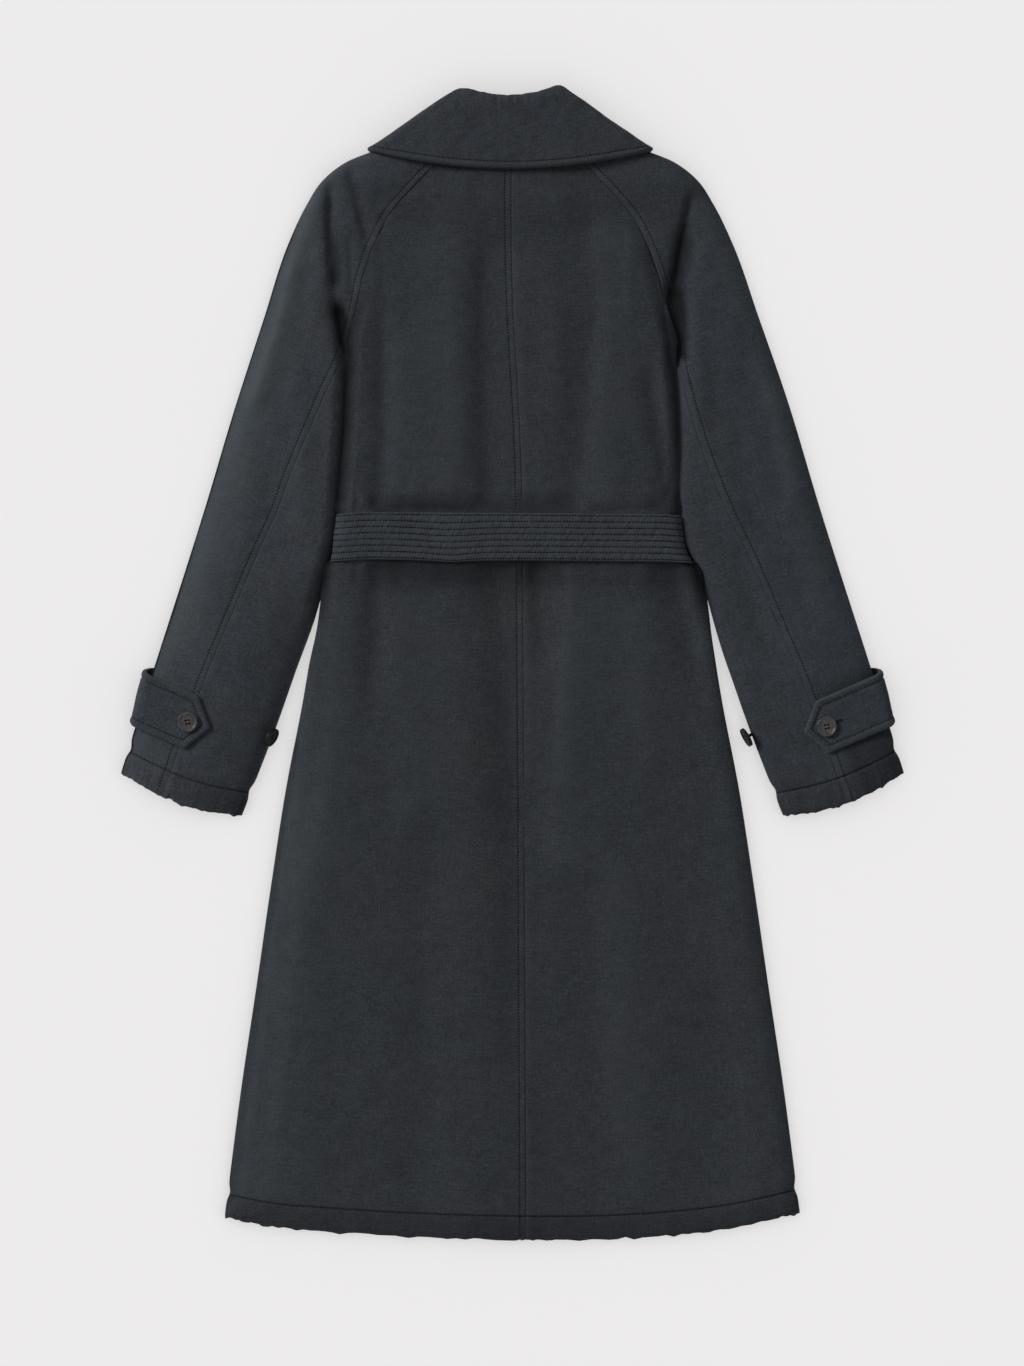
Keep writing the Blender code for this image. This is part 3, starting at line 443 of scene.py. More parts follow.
BACK_FOLDS = [
    Fold(x0=-0.024, y0=0.420, x1=-0.021, y1=0.160, bend=-0.003, left=0.013, right=0.046, height=-0.0054),
    Fold(x0=-0.064, y0=0.390, x1=-0.060, y1=0.175, bend=0.002, left=0.040, right=0.013, height=0.0018),
    Fold(x0=0.098, y0=0.448, x1=0.077, y1=0.165, bend=0.002, left=0.012, right=0.040, height=0.0019),
    Fold(x0=0.084, y0=0.330, x1=0.069, y1=0.160, bend=0.000, left=0.024, right=0.009, height=-0.0042),
    Fold(x0=0.125, y0=0.452, x1=0.123, y1=0.370, bend=0.000, left=0.006, right=0.010, height=0.0010),
    Fold(x0=0.149, y0=0.280, x1=0.178, y1=0.158, bend=-0.002, left=0.014, right=0.011, height=-0.0050),
    Fold(x0=-0.134, y0=0.335, x1=-0.138, y1=0.158, bend=0.002, left=0.013, right=0.009, height=-0.0036),
    Fold(x0=-0.118, y0=0.320, x1=-0.118, y1=0.175, bend=0.000, left=0.010, right=0.036, height=0.0016),
    Fold(x0=-0.135, y0=0.452, x1=-0.134, y1=0.350, bend=0.001, left=0.006, right=0.006, height=-0.0009),
    Fold(x0=0.022, y0=0.372, x1=0.027, y1=0.250, bend=0.002, left=0.009, right=0.016, height=-0.0010),
    Fold(x0=0.151, y0=0.418, x1=0.172, y1=0.330, bend=0.000, left=0.009, right=0.030, height=-0.0044),
    Fold(x0=-0.141, y0=0.098, x1=-0.145, y1=-0.012, bend=0.002, left=0.014, right=0.011, height=-0.0036),
    Fold(x0=-0.116, y0=0.070, x1=-0.110, y1=-0.150, bend=0.000, left=0.012, right=0.055, height=0.0014),
    Fold(x0=-0.014, y0=0.085, x1=0.001, y1=-0.140, bend=0.002, left=0.019, right=0.034, height=-0.0052),
    Fold(x0=0.003, y0=-0.160, x1=0.003, y1=-0.400, bend=0.001, left=0.016, right=0.046, height=-0.0030),
    Fold(x0=0.028, y0=0.100, x1=0.033, y1=0.015, bend=0.000, left=0.012, right=0.014, height=-0.0036),
    Fold(x0=0.063, y0=0.085, x1=0.046, y1=-0.205, bend=-0.002, left=0.010, right=0.044, height=0.0034),
    Fold(x0=0.166, y0=0.096, x1=0.190, y1=0.000, bend=0.002, left=0.018, right=0.011, height=-0.0050),
    Fold(x0=0.130, y0=0.080, x1=0.142, y1=-0.090, bend=0.000, left=0.026, right=0.016, height=0.0014),
    Fold(x0=-0.178, y0=0.060, x1=-0.196, y1=-0.180, bend=0.003, left=0.014, right=0.030, height=0.0020),
    Fold(x0=-0.086, y0=-0.190, x1=-0.097, y1=-0.510, bend=0.006, left=0.022, right=0.046, height=-0.0022),
    Fold(x0=-0.216, y0=-0.170, x1=-0.248, y1=-0.545, bend=0.003, left=0.016, right=0.040, height=0.0026),
    Fold(x0=0.112, y0=-0.250, x1=0.132, y1=-0.510, bend=-0.006, left=0.024, right=0.044, height=0.0020),
    Fold(x0=0.200, y0=-0.240, x1=0.219, y1=-0.470, bend=0.003, left=0.070, right=0.024, height=-0.0034),
    Fold(x0=0.030, y0=-0.380, x1=0.038, y1=-0.560, bend=0.003, left=0.020, right=0.030, height=-0.0014),
    Fold(x0=0.176, y0=-0.352, x1=0.200, y1=-0.356, bend=0.001, left=0.004, right=0.005, height=-0.0008),
    Fold(x0=-0.105, y0=-0.431, x1=-0.086, y1=-0.444, bend=0.001, left=0.006, right=0.006, height=0.0008),
    Fold(x0=-0.044, y0=-0.448, x1=-0.048, y1=-0.470, bend=0.001, left=0.004, right=0.005, height=-0.0008),
]
FOLD_FADE = 0.5
Lumps = namedtuple("Lumps", "size seed height")
BACK_LUMPS = [Lumps(size=0.060, seed=3.0, height=0.0009), Lumps(size=0.017, seed=7.0, height=0.00028)]
LUMP_FALL = 1.0
LUMP_FINER = 2.0
LUMP_LAYERS = 3
FINE_PUCKER = 0.6
PUCKER_FINER = 2.3
PUCKER_LAYER = 4.0
Ridge = namedtuple("Ridge", "at width height")
SEAM_RIDGES = [Ridge(at=0.0, width=0.0007, height=-0.0006), Ridge(at=0.0, width=0.004, height=-0.0001)]
STITCH_RIDGES = [Ridge(at=STITCH_INSET, width=0.0007, height=-0.0003)]
HEM_RIDGES = [
    Ridge(at=HEM_DEPTH, width=0.0010, height=-0.0017),
    Ridge(at=HEM_DEPTH, width=0.0050, height=-0.0008),
]
RAGLAN_RIDGES = [Ridge(at=0.0, width=0.0010, height=-0.0008)]
BELOW_BELT = [Ridge(at=0.003, width=0.009, height=-0.0016)]
BELT_SQUEEZE = [Ridge(at=0.029, width=0.009, height=0.0064), Ridge(at=-0.030, width=0.010, height=0.0080)]
HEM_NIP = [Ridge(at=HEM_DEPTH + 0.003, width=0.007, height=0.0022)]
SLEEVE_TUCK = 0.0018
HEM_SINK = 0.0026
RAGLAN_EASE = 0.020
Gathers = namedtuple("Gathers", "spacing seed at width height")
BELT_GATHERS = Gathers(spacing=0.016, seed=1.0, at=0.006, width=0.018, height=0.0022)
HEM_GATHERS = Gathers(spacing=0.011, seed=2.0, at=0.010, width=0.013, height=0.0012)
SEAM_GATHERS = Gathers(spacing=0.010, seed=5.0, at=0.003, width=0.006, height=0.0004)
HEM_RAGGED = Gathers(spacing=0.011, seed=9.0, at=0.0, width=0.007, height=0.0030)
COLLAR_SHELTER = 0.030
COLLAR_TUCK = 0.004
BELT_CLEAR = (-0.001, 0.009)
BELT_GRIP = (-0.001, 0.003)
BELT_DRAWN = (0.000, 0.006)
BELT_DIP = (0.0, 0.026)
BELT_TURN = 0.010
AlongBelt = namedtuple("AlongBelt", "least most start dip fade rise back")
DIP_ABOVE = AlongBelt(
    least=0.00224,
    most=0.00336,
    start=(-0.152, -0.138),
    dip=1.0,
    fade=(0.055, 0.080),
    rise=0.00336,
    back=(0.120, 0.150),
)
# Painted shadow of the belt on the back: how strong it is along the belt, above it and below it.
SHADE_ABOVE = AlongBelt(
    least=0.0,
    most=0.65,
    start=(-0.152, -0.140),
    dip=0.75,
    fade=(0.056, 0.074),
    rise=0.4875,
    back=(0.130, 0.160),
)
SHADE_BELOW = AlongBelt(
    least=0.0,
    most=1.0,
    start=(-0.160, -0.140),
    dip=0.55,
    fade=(0.020, 0.060),
    rise=0.45,
    back=(0.140, 0.160),
)
SHADE_START = 0.002
SHADE_REACH_ABOVE = 0.016
SHADE_REACH_BELOW = 0.028
SHADE_PUCKER = Gathers(spacing=0.030, seed=12.0, at=0.0, width=1.0, height=0.25)
SLOPE_LEFT = 0.0062
SLOPE_RIGHT = 0.00248
SLOPE_REACH = 0.044
SLOPE_SPAN = (0.040, -0.160)
ABOVE_HEM = (0.0, 0.030)


def smooth_through(knots, values, at):
    """Values read off a smooth curve through the given ones. The knots increase."""
    knots = np.asarray(knots, float)
    values = np.asarray(values, float)
    slopes = np.gradient(values, knots)
    low = np.clip(np.searchsorted(knots, at) - 1, 0, len(knots) - 2)
    span = knots[low + 1] - knots[low]
    share = (at - knots[low]) / span
    rest = 1 - share
    return (
        (1 + 2 * share) * rest**2 * values[low]
        + share * rest**2 * span * slopes[low]
        + share**2 * (3 - 2 * share) * values[low + 1]
        - share**2 * rest * span * slopes[low + 1]
    )


def edge_x(points, y):
    """Where a seam or a side edge crosses the level y."""
    rising = sorted(points, key=lambda point: point.y)
    return smooth_through([p.y for p in rising], [p.x for p in rising], y)


def curve_at(points, shares):
    """Points at the given shares of the length of a smooth curve through the given points."""
    points = np.array(points)
    lengths = np.concatenate([[0.0], np.cumsum(np.hypot(*np.diff(points, axis=0).T))])
    at = shares * lengths[-1]
    return np.stack([smooth_through(lengths, points[:, axis], at) for axis in (0, 1)], axis=1)


def closing(count):
    """Shares from 0 to 1 that lie closer together towards 1."""
    return np.sin(np.linspace(0.0, math.pi / 2, count))


def opening(count):
    """Shares from 0 to 1 that lie closer together towards 0."""
    return 1 - np.cos(np.linspace(0.0, math.pi / 2, count))


def joined(*runs):
    """One row of numbers from several, each starting with the last number of the one before."""
    return np.concatenate([*(run[:-1] for run in runs[:-1]), runs[-1]])


TOP_ROWS = 91
RAGLAN_LINE = curve_at(RAGLAN, np.linspace(0.0, 1.0, TOP_ROWS))
BACK_COLUMNS = 46
NEAR_SEAM = np.array([0.0, 0.4, 0.9, 1.5, 2.3, 3.3, 4.5, 5.5, 6.2, 6.8, 7.4, 8.2, 9.6, 12.0]) / 1000
HEM_FINE_Y = HEM_Y + 0.034
HEM_EDGE = 0.008
BODY_LEVELS = joined(
    np.linspace(RAGLAN[0].y, HEM_FINE_Y, 350),
    np.linspace(HEM_FINE_Y, HEM_Y + HEM_EDGE, 38),
    HEM_Y + HEM_EDGE * (1 - closing(9)),
)


def roll(distance):
    """How far a panel has rolled down near its edge: 0 on the flat and 1 at the edge."""
    inward = np.clip(distance / ROLL, 0.0, 1.0)
    return 1 - np.sqrt(1 - (1 - inward) ** 2)


def hollow(distance, width):
    """How far a panel has sunk near an edge that meets its neighbour in a valley: 1 at the edge."""
    return (1 - np.clip(distance / width, 0.0, 1.0)) ** HOLLOW_CURVE


def beside_sleeve(y):
    """1 where the body and a sleeve lie side by side, from the underarm to where they part."""
    return step(*BESIDE_LOW, y) * (1 - step(*BESIDE_HIGH, y))


def rounded(distance, radius):
    """Share of the wall that is left at a distance from its cut edge, where it is turned over."""
    inward = np.clip(distance / radius, 0.0, 1.0)
    return EDGE_SHARE + (1 - EDGE_SHARE) * np.sqrt(1 - (1 - inward) ** 2)


def hem_rise(x):
    return smooth_through(*zip(*HEM), np.clip(x / SIDE[-1].x, -1.0, 1.0))


def above_hem(x, y):
    return y - HEM_Y - hem_rise(x)


def collar_edge_y(x):
    return COLLAR_EDGE_Y + COLLAR_EDGE_RISE * (x / COLLAR_EDGE_HALF) ** 2


def collar_lift(x, y):
    """Height of the floor under the coat's top: the collar's leaves lie there."""
    full = collar_edge_y(x) - LEAF_DEPTH
    return COLLAR_LIFT * step(full - LEAF_EASE, full, y)


def body_lift(x, y):
    """Height of what the body lies on: the floor, the collar's leaves or the belt."""
    plateau = BELT_WIDTH / 2 + BELT_MARGIN
    return collar_lift(x, y) + BELT_LIFT * (1 - step(plateau, plateau + BELT_EASE, np.abs(y - BELT_Y)))


def fold_height(folds, x, y):
    """Height of soft ridges, or of troughs below zero, along bent lines with a width on each side."""
    height = np.zeros(np.shape(x))
    for fold in folds:
        run = np.array([fold.x1 - fold.x0, fold.y1 - fold.y0])
        length = np.hypot(*run)
        along = ((x - fold.x0) * run[0] + (y - fold.y0) * run[1]) / length**2
        share = np.clip(along, 0.0, 1.0)
        aside = ((y - fold.y0) * run[0] - (x - fold.x0) * run[1]) / length
        aside = aside - fold.bend * 4 * share * (1 - share)
        width = np.where(aside < 0, fold.left, fold.right)
        past = FOLD_FADE * (along - share) * length / fold.left
        height = height + fold.height * np.exp(-((aside / width) ** 2) - past**2)
    return height


def ridges(rows, distance):
    """Height of soft ridges, or of troughs below zero, at distances from an edge or a seam."""
    return sum(row.height * groove(distance - row.at, row.width) for row in rows)


def lumpy(rows, x, y):
    """Height of uneven lumps."""
    height = np.zeros(np.shape(x))
    for row in rows:
        places = zip(np.ravel(x / row.size), np.ravel(y / row.size))
        found = [noise.fractal((u, v, row.seed), LUMP_FALL, LUMP_FINER, LUMP_LAYERS) for u, v in places]
        height = height + row.height * np.reshape(found, np.shape(x))
    return height


def gathered(gathers, along, distance, side=0):
    """Height of uneven gathers along a line of sewing, at distances from it."""
    found = []
    for at in np.ravel(along / gathers.spacing):
        fine = noise.noise((PUCKER_FINER * at, gathers.seed + side, PUCKER_LAYER))
        found.append(noise.noise((at, gathers.seed + side, 0.0)) + FINE_PUCKER * fine)
    pucker = np.reshape(found, np.shape(along))
    return gathers.height * pucker * groove(distance - gathers.at, gathers.width)


def body_edge(y):
    """Half width of the body at a level, tucked under the raglan seam or short of the sleeve."""
    on_raglan = np.interp(y, RAGLAN_LINE[::-1, 1], RAGLAN_LINE[::-1, 0]) + SEAM_TUCK
    on_side = edge_x(SIDE, np.clip(y, SIDE[-1].y, SIDE[0].y))
    return np.where(y > SIDE[0].y, on_raglan, on_side)


def roll_share(y):
    """Share of the full roll at the body's edge: none along the raglan seam, all of it below the underarm."""
    return 1 - step(FULL_ROLL_Y, NO_ROLL_Y, y)


def lap_scale(y):
    return np.minimum(1.0, (body_edge(y) - LAP_MARGIN) / LAP_END)


def lapped(x, y):
    """1 over the fronts' overlap, fading evenly to 0 at each side of it."""
    scale = lap_scale(y)
    return np.clip((LAP_END * scale - np.abs(x)) / ((LAP_END - LAP_FLAT) * scale), 0.0, 1.0)


def centre_x(y):
    return edge_x(CENTRE_SEAM, np.clip(y, HEM_Y, NECK_Y))


def along_belt(row, x):
    """An amount along the belt: it starts at the left end, fades, and comes back at the right end."""
    shown = row.most * step(*row.start, x) * (1 - row.dip * step(*row.fade, x))
    return row.least + shown + row.rise * step(*row.back, x)


def back_relief(x, y):
    """Height of the folds, lumps and gathers, which die away under the collar and the belt."""
    off_belt = np.abs(y - BELT_Y) - BELT_WIDTH / 2
    clear_of_belt = step(*BELT_CLEAR, off_belt)
    edge = collar_edge_y(x)
    clear_of_collar = 1 - step(edge - COLLAR_SHELTER, edge + COLLAR_TUCK, y)
    free = fold_height(BACK_FOLDS, x, y) * clear_of_belt + lumpy(BACK_LUMPS, x, y)
    drawn = gathered(BELT_GATHERS, x, off_belt) * step(*BELT_DRAWN, off_belt)
    below = ridges(BELOW_BELT, off_belt) * step(BELT_Y, BELT_Y - BELT_TURN, y)
    above = along_belt(DIP_ABOVE, x) * (1 - step(*BELT_DIP, off_belt)) * step(BELT_Y, BELT_Y + BELT_TURN, y)
    return free * clear_of_collar * clear_of_belt + (drawn + below - above) * step(*BELT_GRIP, off_belt)


def painted_belt_shadow(x, y):
    """1 in the uneven strips above and below the belt where its shadow is painted on the back's cloth."""
    off_belt = np.abs(y - BELT_Y) - BELT_WIDTH / 2 - SHADE_START
    uneven = 1 - SHADE_PUCKER.height + gathered(SHADE_PUCKER, x, 0.0)
    above = along_belt(SHADE_ABOVE, x) * groove(off_belt, SHADE_REACH_ABOVE)
    below = along_belt(SHADE_BELOW, x) * groove(off_belt, SHADE_REACH_BELOW)
    return np.clip(uneven * np.where(y > BELT_Y, above, below), 0.0, 1.0)


def back_underside(x, y, inward):
    gap = SEAM_GAP + (LAYER_GAP - SEAM_GAP) * step(0.0, ROLL, inward)
    return body_lift(x, y) + WALL + LAP_HEIGHT * lapped(x, y) + gap


def back_top(x, y, inward, from_seam, topstitched):
    """Upper surface of the back, at distances from the body's edge and from the centre seam."""
    over_hem = above_hem(x, y)
    rolled = roll_share(y) * roll(inward) * (WALL - SEAM_WALL)
    rolled = np.maximum(rolled, beside_sleeve(y) * hollow(inward, VALLEY) * WALL)
    sloped = np.where(x < 0, SLOPE_LEFT, SLOPE_RIGHT) * hollow(inward, SLOPE_REACH) * step(*SLOPE_SPAN, y)
    rolled = rolled + sloped * step(*ABOVE_HEM, over_hem)
    wall = (WALL - rolled) * rounded(over_hem, EDGE_ROUND) + back_relief(x, y) * step(*HEM_BLEND, over_hem)
    wall = wall + ridges(HEM_RIDGES, over_hem) + gathered(HEM_GATHERS, x, over_hem)
    wall = wall - HEM_SINK * hollow(over_hem, HEM_DEPTH)
    wall = wall + ridges(SEAM_RIDGES, from_seam) + gathered(SEAM_GATHERS, y, from_seam)
    if topstitched:
        wall = wall + ridges(STITCH_RIDGES, from_seam)
    wall = wall + ridges(RAGLAN_RIDGES, inward) * step(FULL_ROLL_Y, FULL_ROLL_Y + RAGLAN_EASE, y)
    return back_underside(x, y, inward) + np.maximum(LEAST_WALL, wall)


def stacked(x, y, z):
    return np.stack(np.broadcast_arrays(x, y, z), axis=-1)


Tint = namedtuple("Tint", "x y wide tall warm")
TINTS = [
    Tint(x=0.005, y=0.055, wide=0.045, tall=0.055, warm=0.70),
    Tint(x=-0.036, y=-0.080, wide=0.022, tall=0.110, warm=0.70),
    Tint(x=-0.030, y=-0.250, wide=0.030, tall=0.080, warm=0.50),
    Tint(x=0.165, y=-0.200, wide=0.020, tall=0.130, warm=0.50),
    Tint(x=0.213, y=-0.350, wide=0.035, tall=0.060, warm=0.60),
    Tint(x=0.000, y=0.290, wide=0.070, tall=0.090, warm=0.30),
    Tint(x=0.215, y=0.350, wide=0.050, tall=0.070, warm=-0.70),
    Tint(x=0.265, y=0.190, wide=0.050, tall=0.090, warm=-0.70),
    Tint(x=0.330, y=0.020, wide=0.060, tall=0.100, warm=-0.80),
    Tint(x=0.000, y=0.600, wide=0.060, tall=0.020, warm=-0.40),
]
EVEN_WARMTH = 0.25


def dyed_warmth(points):
    """How warm the dye is at each point: a quarter where it is even, half where it is warmest."""
    x, y = points[:, 0], points[:, 1]
    warm = sum(row.warm * groove(x - row.x, row.wide) * groove(y - row.y, row.tall) for row in TINTS)
    return EVEN_WARMTH * (1 + warm)


def cloth_wall(name, outer, inner, material, wear_and_light):
    """A closed padded wall between two grids of points, paler where rubbed and where a painted highlight is
    laid, and dark where painted shade is laid.
    """
    rows, columns = outer.shape[:2]
    count = rows * columns
    place = np.arange(count).reshape(rows, columns)
    corners = [place[:-1, :-1], place[:-1, 1:], place[1:, 1:], place[1:, :-1]]
    quads = np.stack(corners, axis=-1).reshape(-1, 4)
    rim = np.concatenate([place[0, :-1], place[:-1, -1], place[-1, :0:-1], place[:0:-1, 0]])
    ahead = np.roll(rim, -1)
    sides = np.stack([rim, rim + count, ahead + count, ahead], axis=-1)
    faces = np.concatenate([quads, quads[:, ::-1] + count, sides])
    points = leaned(np.concatenate([outer.reshape(-1, 3), inner.reshape(-1, 3)]))
    piece = new_piece(name, points, faces.tolist(), material)
    piece.data.set_sharp_from_angle(angle=SHARP_ANGLE)
    shades = {"wear_and_painted_light": np.concatenate([np.ravel(wear_and_light), np.zeros(count)]), "warmth": dyed_warmth(points)}
    for attribute, values in shades.items():
        kept = piece.data.attributes.new(attribute, "FLOAT", "POINT")
        kept.data.foreach_set("value", values.astype(np.float32))
    return piece


def laid_cloth(piece, node):
    """Attaches a piece to the root and hides the solid that it stands for."""
    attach(piece, "root")
    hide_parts(node)


def side_name(stem, side):
    return f"{stem}_{'right' if side > 0 else 'left'}"


def columns_to(near, end, columns):
    """Columns near a seam, and more from the last of them to an end, closer together there."""
    last = near[:, -1:]
    return np.concatenate([near, last + (end - last) * closing(columns + 1)[None, 1:]], axis=1)


def body_rows(side, start, columns):
    """Points of a body panel on the floor plan, from a line near the centre out to the body's edge."""
    levels = BODY_LEVELS[:, None]
    below_waist = step(0.0, -HEM_Y, -levels) ** 2
    climb = hem_rise(side * body_edge(levels)) * below_waist
    squeezed = np.maximum(ridges(BELT_SQUEEZE, levels - BELT_Y), SLEEVE_TUCK * beside_sleeve(levels))
    end = side * (body_edge(levels + climb) + squeezed - ridges(HEM_NIP, levels - HEM_Y))
    first = start(levels)
    x = columns_to(first + side * NEAR_SEAM[None, :], end, columns)
    y = levels + hem_rise(x) * below_waist + gathered(HEM_RAGGED, x, levels - HEM_Y)
    y = y + NECK_CURVE * (x**2 - end**2) * step(NECK_BLEND_Y, RAGLAN[0].y, levels)
    return x, y, np.abs(end - x), np.abs(x - first)


def on_back(x, y):
    """Points of the back's upper surface."""
    from_seam = np.abs(x - centre_x(y))
    return stacked(x, y, back_top(x, y, np.abs(body_edge(y) - np.abs(x)), from_seam, True))


WORN_HEIGHT = 0.003
BACK_WORN = 0.20
SEAM_WORN = [Ridge(at=0.0035, width=0.003, height=0.10)]
HEM_WORN = [Ridge(at=0.0, width=0.003, height=0.30)]
HEM_SHADE = 0.22
TURN_EASE = 0.001
EDGE_WEAR_AND_HIGHLIGHT_LEFT = 0.30
EDGE_WEAR_AND_HIGHLIGHT_RIGHT = 0.05
EDGE_WEAR_AND_HIGHLIGHT_REACH = 0.040
EDGE_WEAR_AND_HIGHLIGHT_SPAN = (0.04, -0.12)
CREVICE_DEPTH = (0.0034, 0.0060)
CREVICE_REACH = 0.011
CREVICE_SPAN = (0.30, 0.34)
PAINTED_VALLEY_SHADE = 0.90
VALLEY_SHADE = {-1: 0.0095, 1: 0.0100}
BELT_SHADE = 0.82
MIDDLE_SHADE = [Ridge(at=0.006, width=0.055, height=0.10)]
MIDDLE_SPAN = (0.020, -0.080)
BACK_TONE = 0.96
HEM_STITCHES_IN = 0.006
SEAM_MARGIN = 0.001
STITCH_TOP = 0.512
BELT_COVER = 0.026
STITCH_END = 0.004


def ridge_wear(relief, most):
    """Wear on what stands up."""
    return most * np.clip(relief / WORN_HEIGHT, 0.0, 1.0)


def turned_painted_shade(distance, depth, most):
    """Painted shade on a turned-up hem, from its edge to its stitching, where the band slopes away from the
    light.
    """
    return most * (1 - step(depth - TURN_EASE, depth + TURN_EASE, distance))


def back_wear_and_shading(side, x, y, inward, from_seam):
    """How rubbed the back's cloth is, with painted highlight; below zero, how much painted shade lies on it.
    """
    relief = back_relief(x, y)
    over_hem = above_hem(x, y)
    wear_and_light = ridge_wear(relief, BACK_WORN) + ridges(SEAM_WORN, from_seam) + ridges(HEM_WORN, over_hem)
    # Lighter along the side edges, far more on the left: a painted highlight where light from the left
    # catches the roll, with a little rubbing.
    edge = np.where(x < 0, EDGE_WEAR_AND_HIGHLIGHT_LEFT, EDGE_WEAR_AND_HIGHLIGHT_RIGHT) * hollow(inward, EDGE_WEAR_AND_HIGHLIGHT_REACH)
    wear_and_light = wear_and_light + edge * step(*EDGE_WEAR_AND_HIGHLIGHT_SPAN, y) * step(*ABOVE_HEM, over_hem)
    # Painted shade in the crevice near the underarms, in the valley where the back meets a sleeve and in the
    # belt's painted shadow; the middle of the skirt is made a little darker too.
    crevice = step(*CREVICE_DEPTH, -relief) * groove(inward, CREVICE_REACH) * step(*CREVICE_SPAN, y)
    valley = beside_sleeve(y) * groove(inward, VALLEY_SHADE[side])
    painted_shade = PAINTED_VALLEY_SHADE * np.maximum(valley, crevice) + BELT_SHADE * painted_belt_shadow(x, y)
    painted_shade = painted_shade + ridges(MIDDLE_SHADE, x) * step(*MIDDLE_SPAN, y)
    return wear_and_light - painted_shade - turned_painted_shade(over_hem, HEM_DEPTH, HEM_SHADE)


for side in (-1, 1):
    x, y, inward, from_seam = body_rows(side, centre_x, BACK_COLUMNS)
    top = stacked(x, y, back_top(x, y, inward, from_seam, side < 0))
    under = stacked(x, y, back_underside(x, y, inward))
    cloth = washed_cloth(side_name("back_cloth", side), (0.31 * side, 0.17, 0.0), 0.06 * side, BACK_TONE)
    wear_and_light = back_wear_and_shading(side, x, y, inward, from_seam)
    piece = cloth_wall(side_name("back_panel", side), top, under, cloth, wear_and_light)
    hem_end = float(centre_x(HEM_Y)) + side * SEAM_MARGIN
    hem_x = np.linspace(side * (SIDE[-1].x - HEM_STITCHES_IN), hem_end, 360)
    rows = [(on_back(hem_x, HEM_Y + HEM_DEPTH + hem_rise(hem_x)), UP)]
    if side < 0:
        above_belt = np.linspace(STITCH_TOP, BELT_Y + BELT_COVER, 400)
        below_belt = np.linspace(BELT_Y - BELT_COVER, HEM_Y + STITCH_END, 700)
        for stitched_y in (above_belt, below_belt):
            rows.append((on_back(centre_x(stitched_y) - STITCH_INSET, stitched_y), UP))
    stitching = sewing(side_name("back_sewing", side), rows)
    laid_cloth(piece, side_name("back", side))

# Fronts. Two padded panels under the back, the right one lapped over the left, so nearer the floor.
# They are hidden and plain, flat where they rest, with the same turned and stitched hem.
OVERLAP = 0.045
FRONT_COLUMNS = 20
MOST_TURNED = 0.7 * FACING_WALL
FRONT_HEM = [Ridge(at=HEM_DEPTH, width=0.0018, height=0.0010)]
ON_FLOOR = 0.0001
FRONT_WORN = [Ridge(at=0.0, width=0.004, height=0.2)]


def front_surfaces(side, x, y, inward):
    """Heights of a front's lower and upper surfaces."""
    floor = body_lift(x, y)
    over_hem = above_hem(x, y)
    facing = lapped(x, y)
    turned = np.minimum(WALL * (1 - rounded(over_hem, EDGE_ROUND)), MOST_TURNED)
    under = floor + roll_share(y) * roll(inward) * (WALL - SEAM_WALL)
    if side > 0:
        top = floor + WALL - (WALL - FACING_WALL) * facing - turned
    else:
        under = under + (FACING_WALL + LAYER_GAP / 2) * facing
        top = floor + WALL + (LAP_HEIGHT - LAYER_GAP / 2) * facing - turned
    return under + np.where(under < ON_FLOOR, 0.0, ridges(FRONT_HEM, over_hem)), top


for side in (-1, 1):
    x, y, inward, _ = body_rows(side, lambda level: -side * OVERLAP * lap_scale(level), FRONT_COLUMNS)
    low, high = front_surfaces(side, x, y, inward)
    under = stacked(x, y, low)
    cloth = washed_cloth(side_name("front_cloth", side), (0.43 * side, -0.29, 0.1), -0.05 * side)
    wear_and_light = ridges(FRONT_WORN, above_hem(x, y))
    piece = cloth_wall(side_name("front_panel", side), under, stacked(x, y, high), cloth, wear_and_light)
    laid_cloth(piece, side_name("front", side))

# Sleeves. Raglan sleeves of two pieces each: a top sleeve from the neck over the shoulder, folded round
# the outer edge, and an under sleeve folded round the inner edge. The back seam is topstitched.
CUFF_BOW = 0.0105
CUFF_BOW_CURVE = 8
CUFF_DEPTH = 0.0245
FOLD_WALL = 0.0035
STRAP_LIFT = 0.0036
STRAP_PLATEAU = -0.058
STRAP_EASE = 0.080
STRAP_TIP = Point(x=0.308, y=-0.069)
STRAP_TURN = math.radians(23.4)
STRAP_SLIP = {1: -0.006, -1: 0.006}
SHOULDER_EDGE = [
    Point(x=0.0950, y=0.5608),
    Point(x=0.1190, y=0.5458),
    Point(x=0.1405, y=0.5340),
    Point(x=0.1731, y=0.5197),
    Point(x=0.1981, y=0.4989),
    Point(x=0.2116, y=0.4780),
    Point(x=0.2315, y=0.4363),
    Point(x=0.2575, y=0.3600),
]
SLEEVE_OUTER = [
    Point(x=0.2575, y=0.3600),
    Point(x=0.2878, y=0.2695),
    Point(x=0.3190, y=0.1653),
    Point(x=0.3519, y=0.0610),
    Point(x=0.3852, y=-0.0433),
    Point(x=0.4075, y=-0.1142),
]
SLEEVE_INNER = [
    Point(x=0.1720, y=0.3320),
    Point(x=0.1767, y=0.2852),
    Point(x=0.1793, y=0.2330),
    Point(x=0.1845, y=0.1809),
    Point(x=0.1945, y=0.1183),
    Point(x=0.2050, y=0.0610),
    Point(x=0.2163, y=0.0193),
    Point(x=0.2304, y=-0.0224),
    Point(x=0.2450, y=-0.0641),
    Point(x=0.2690, y=-0.1267),
    Point(x=0.2815, y=-0.1585),
]
Seam = namedtuple("Seam", "station left right front")
SLEEVE_SEAMS = [
    Seam(station=0.00, left=0.985, right=0.985, front=0.985),
    Seam(station=0.08, left=0.855, right=0.945, front=0.860),
    Seam(station=0.20, left=0.700, right=0.850, front=0.730),
    Seam(station=0.45, left=0.500, right=0.630, front=0.630),
    Seam(station=0.70, left=0.400, right=0.525, front=0.600),
    Seam(station=1.00, left=0.345, right=0.475, front=0.600),
]
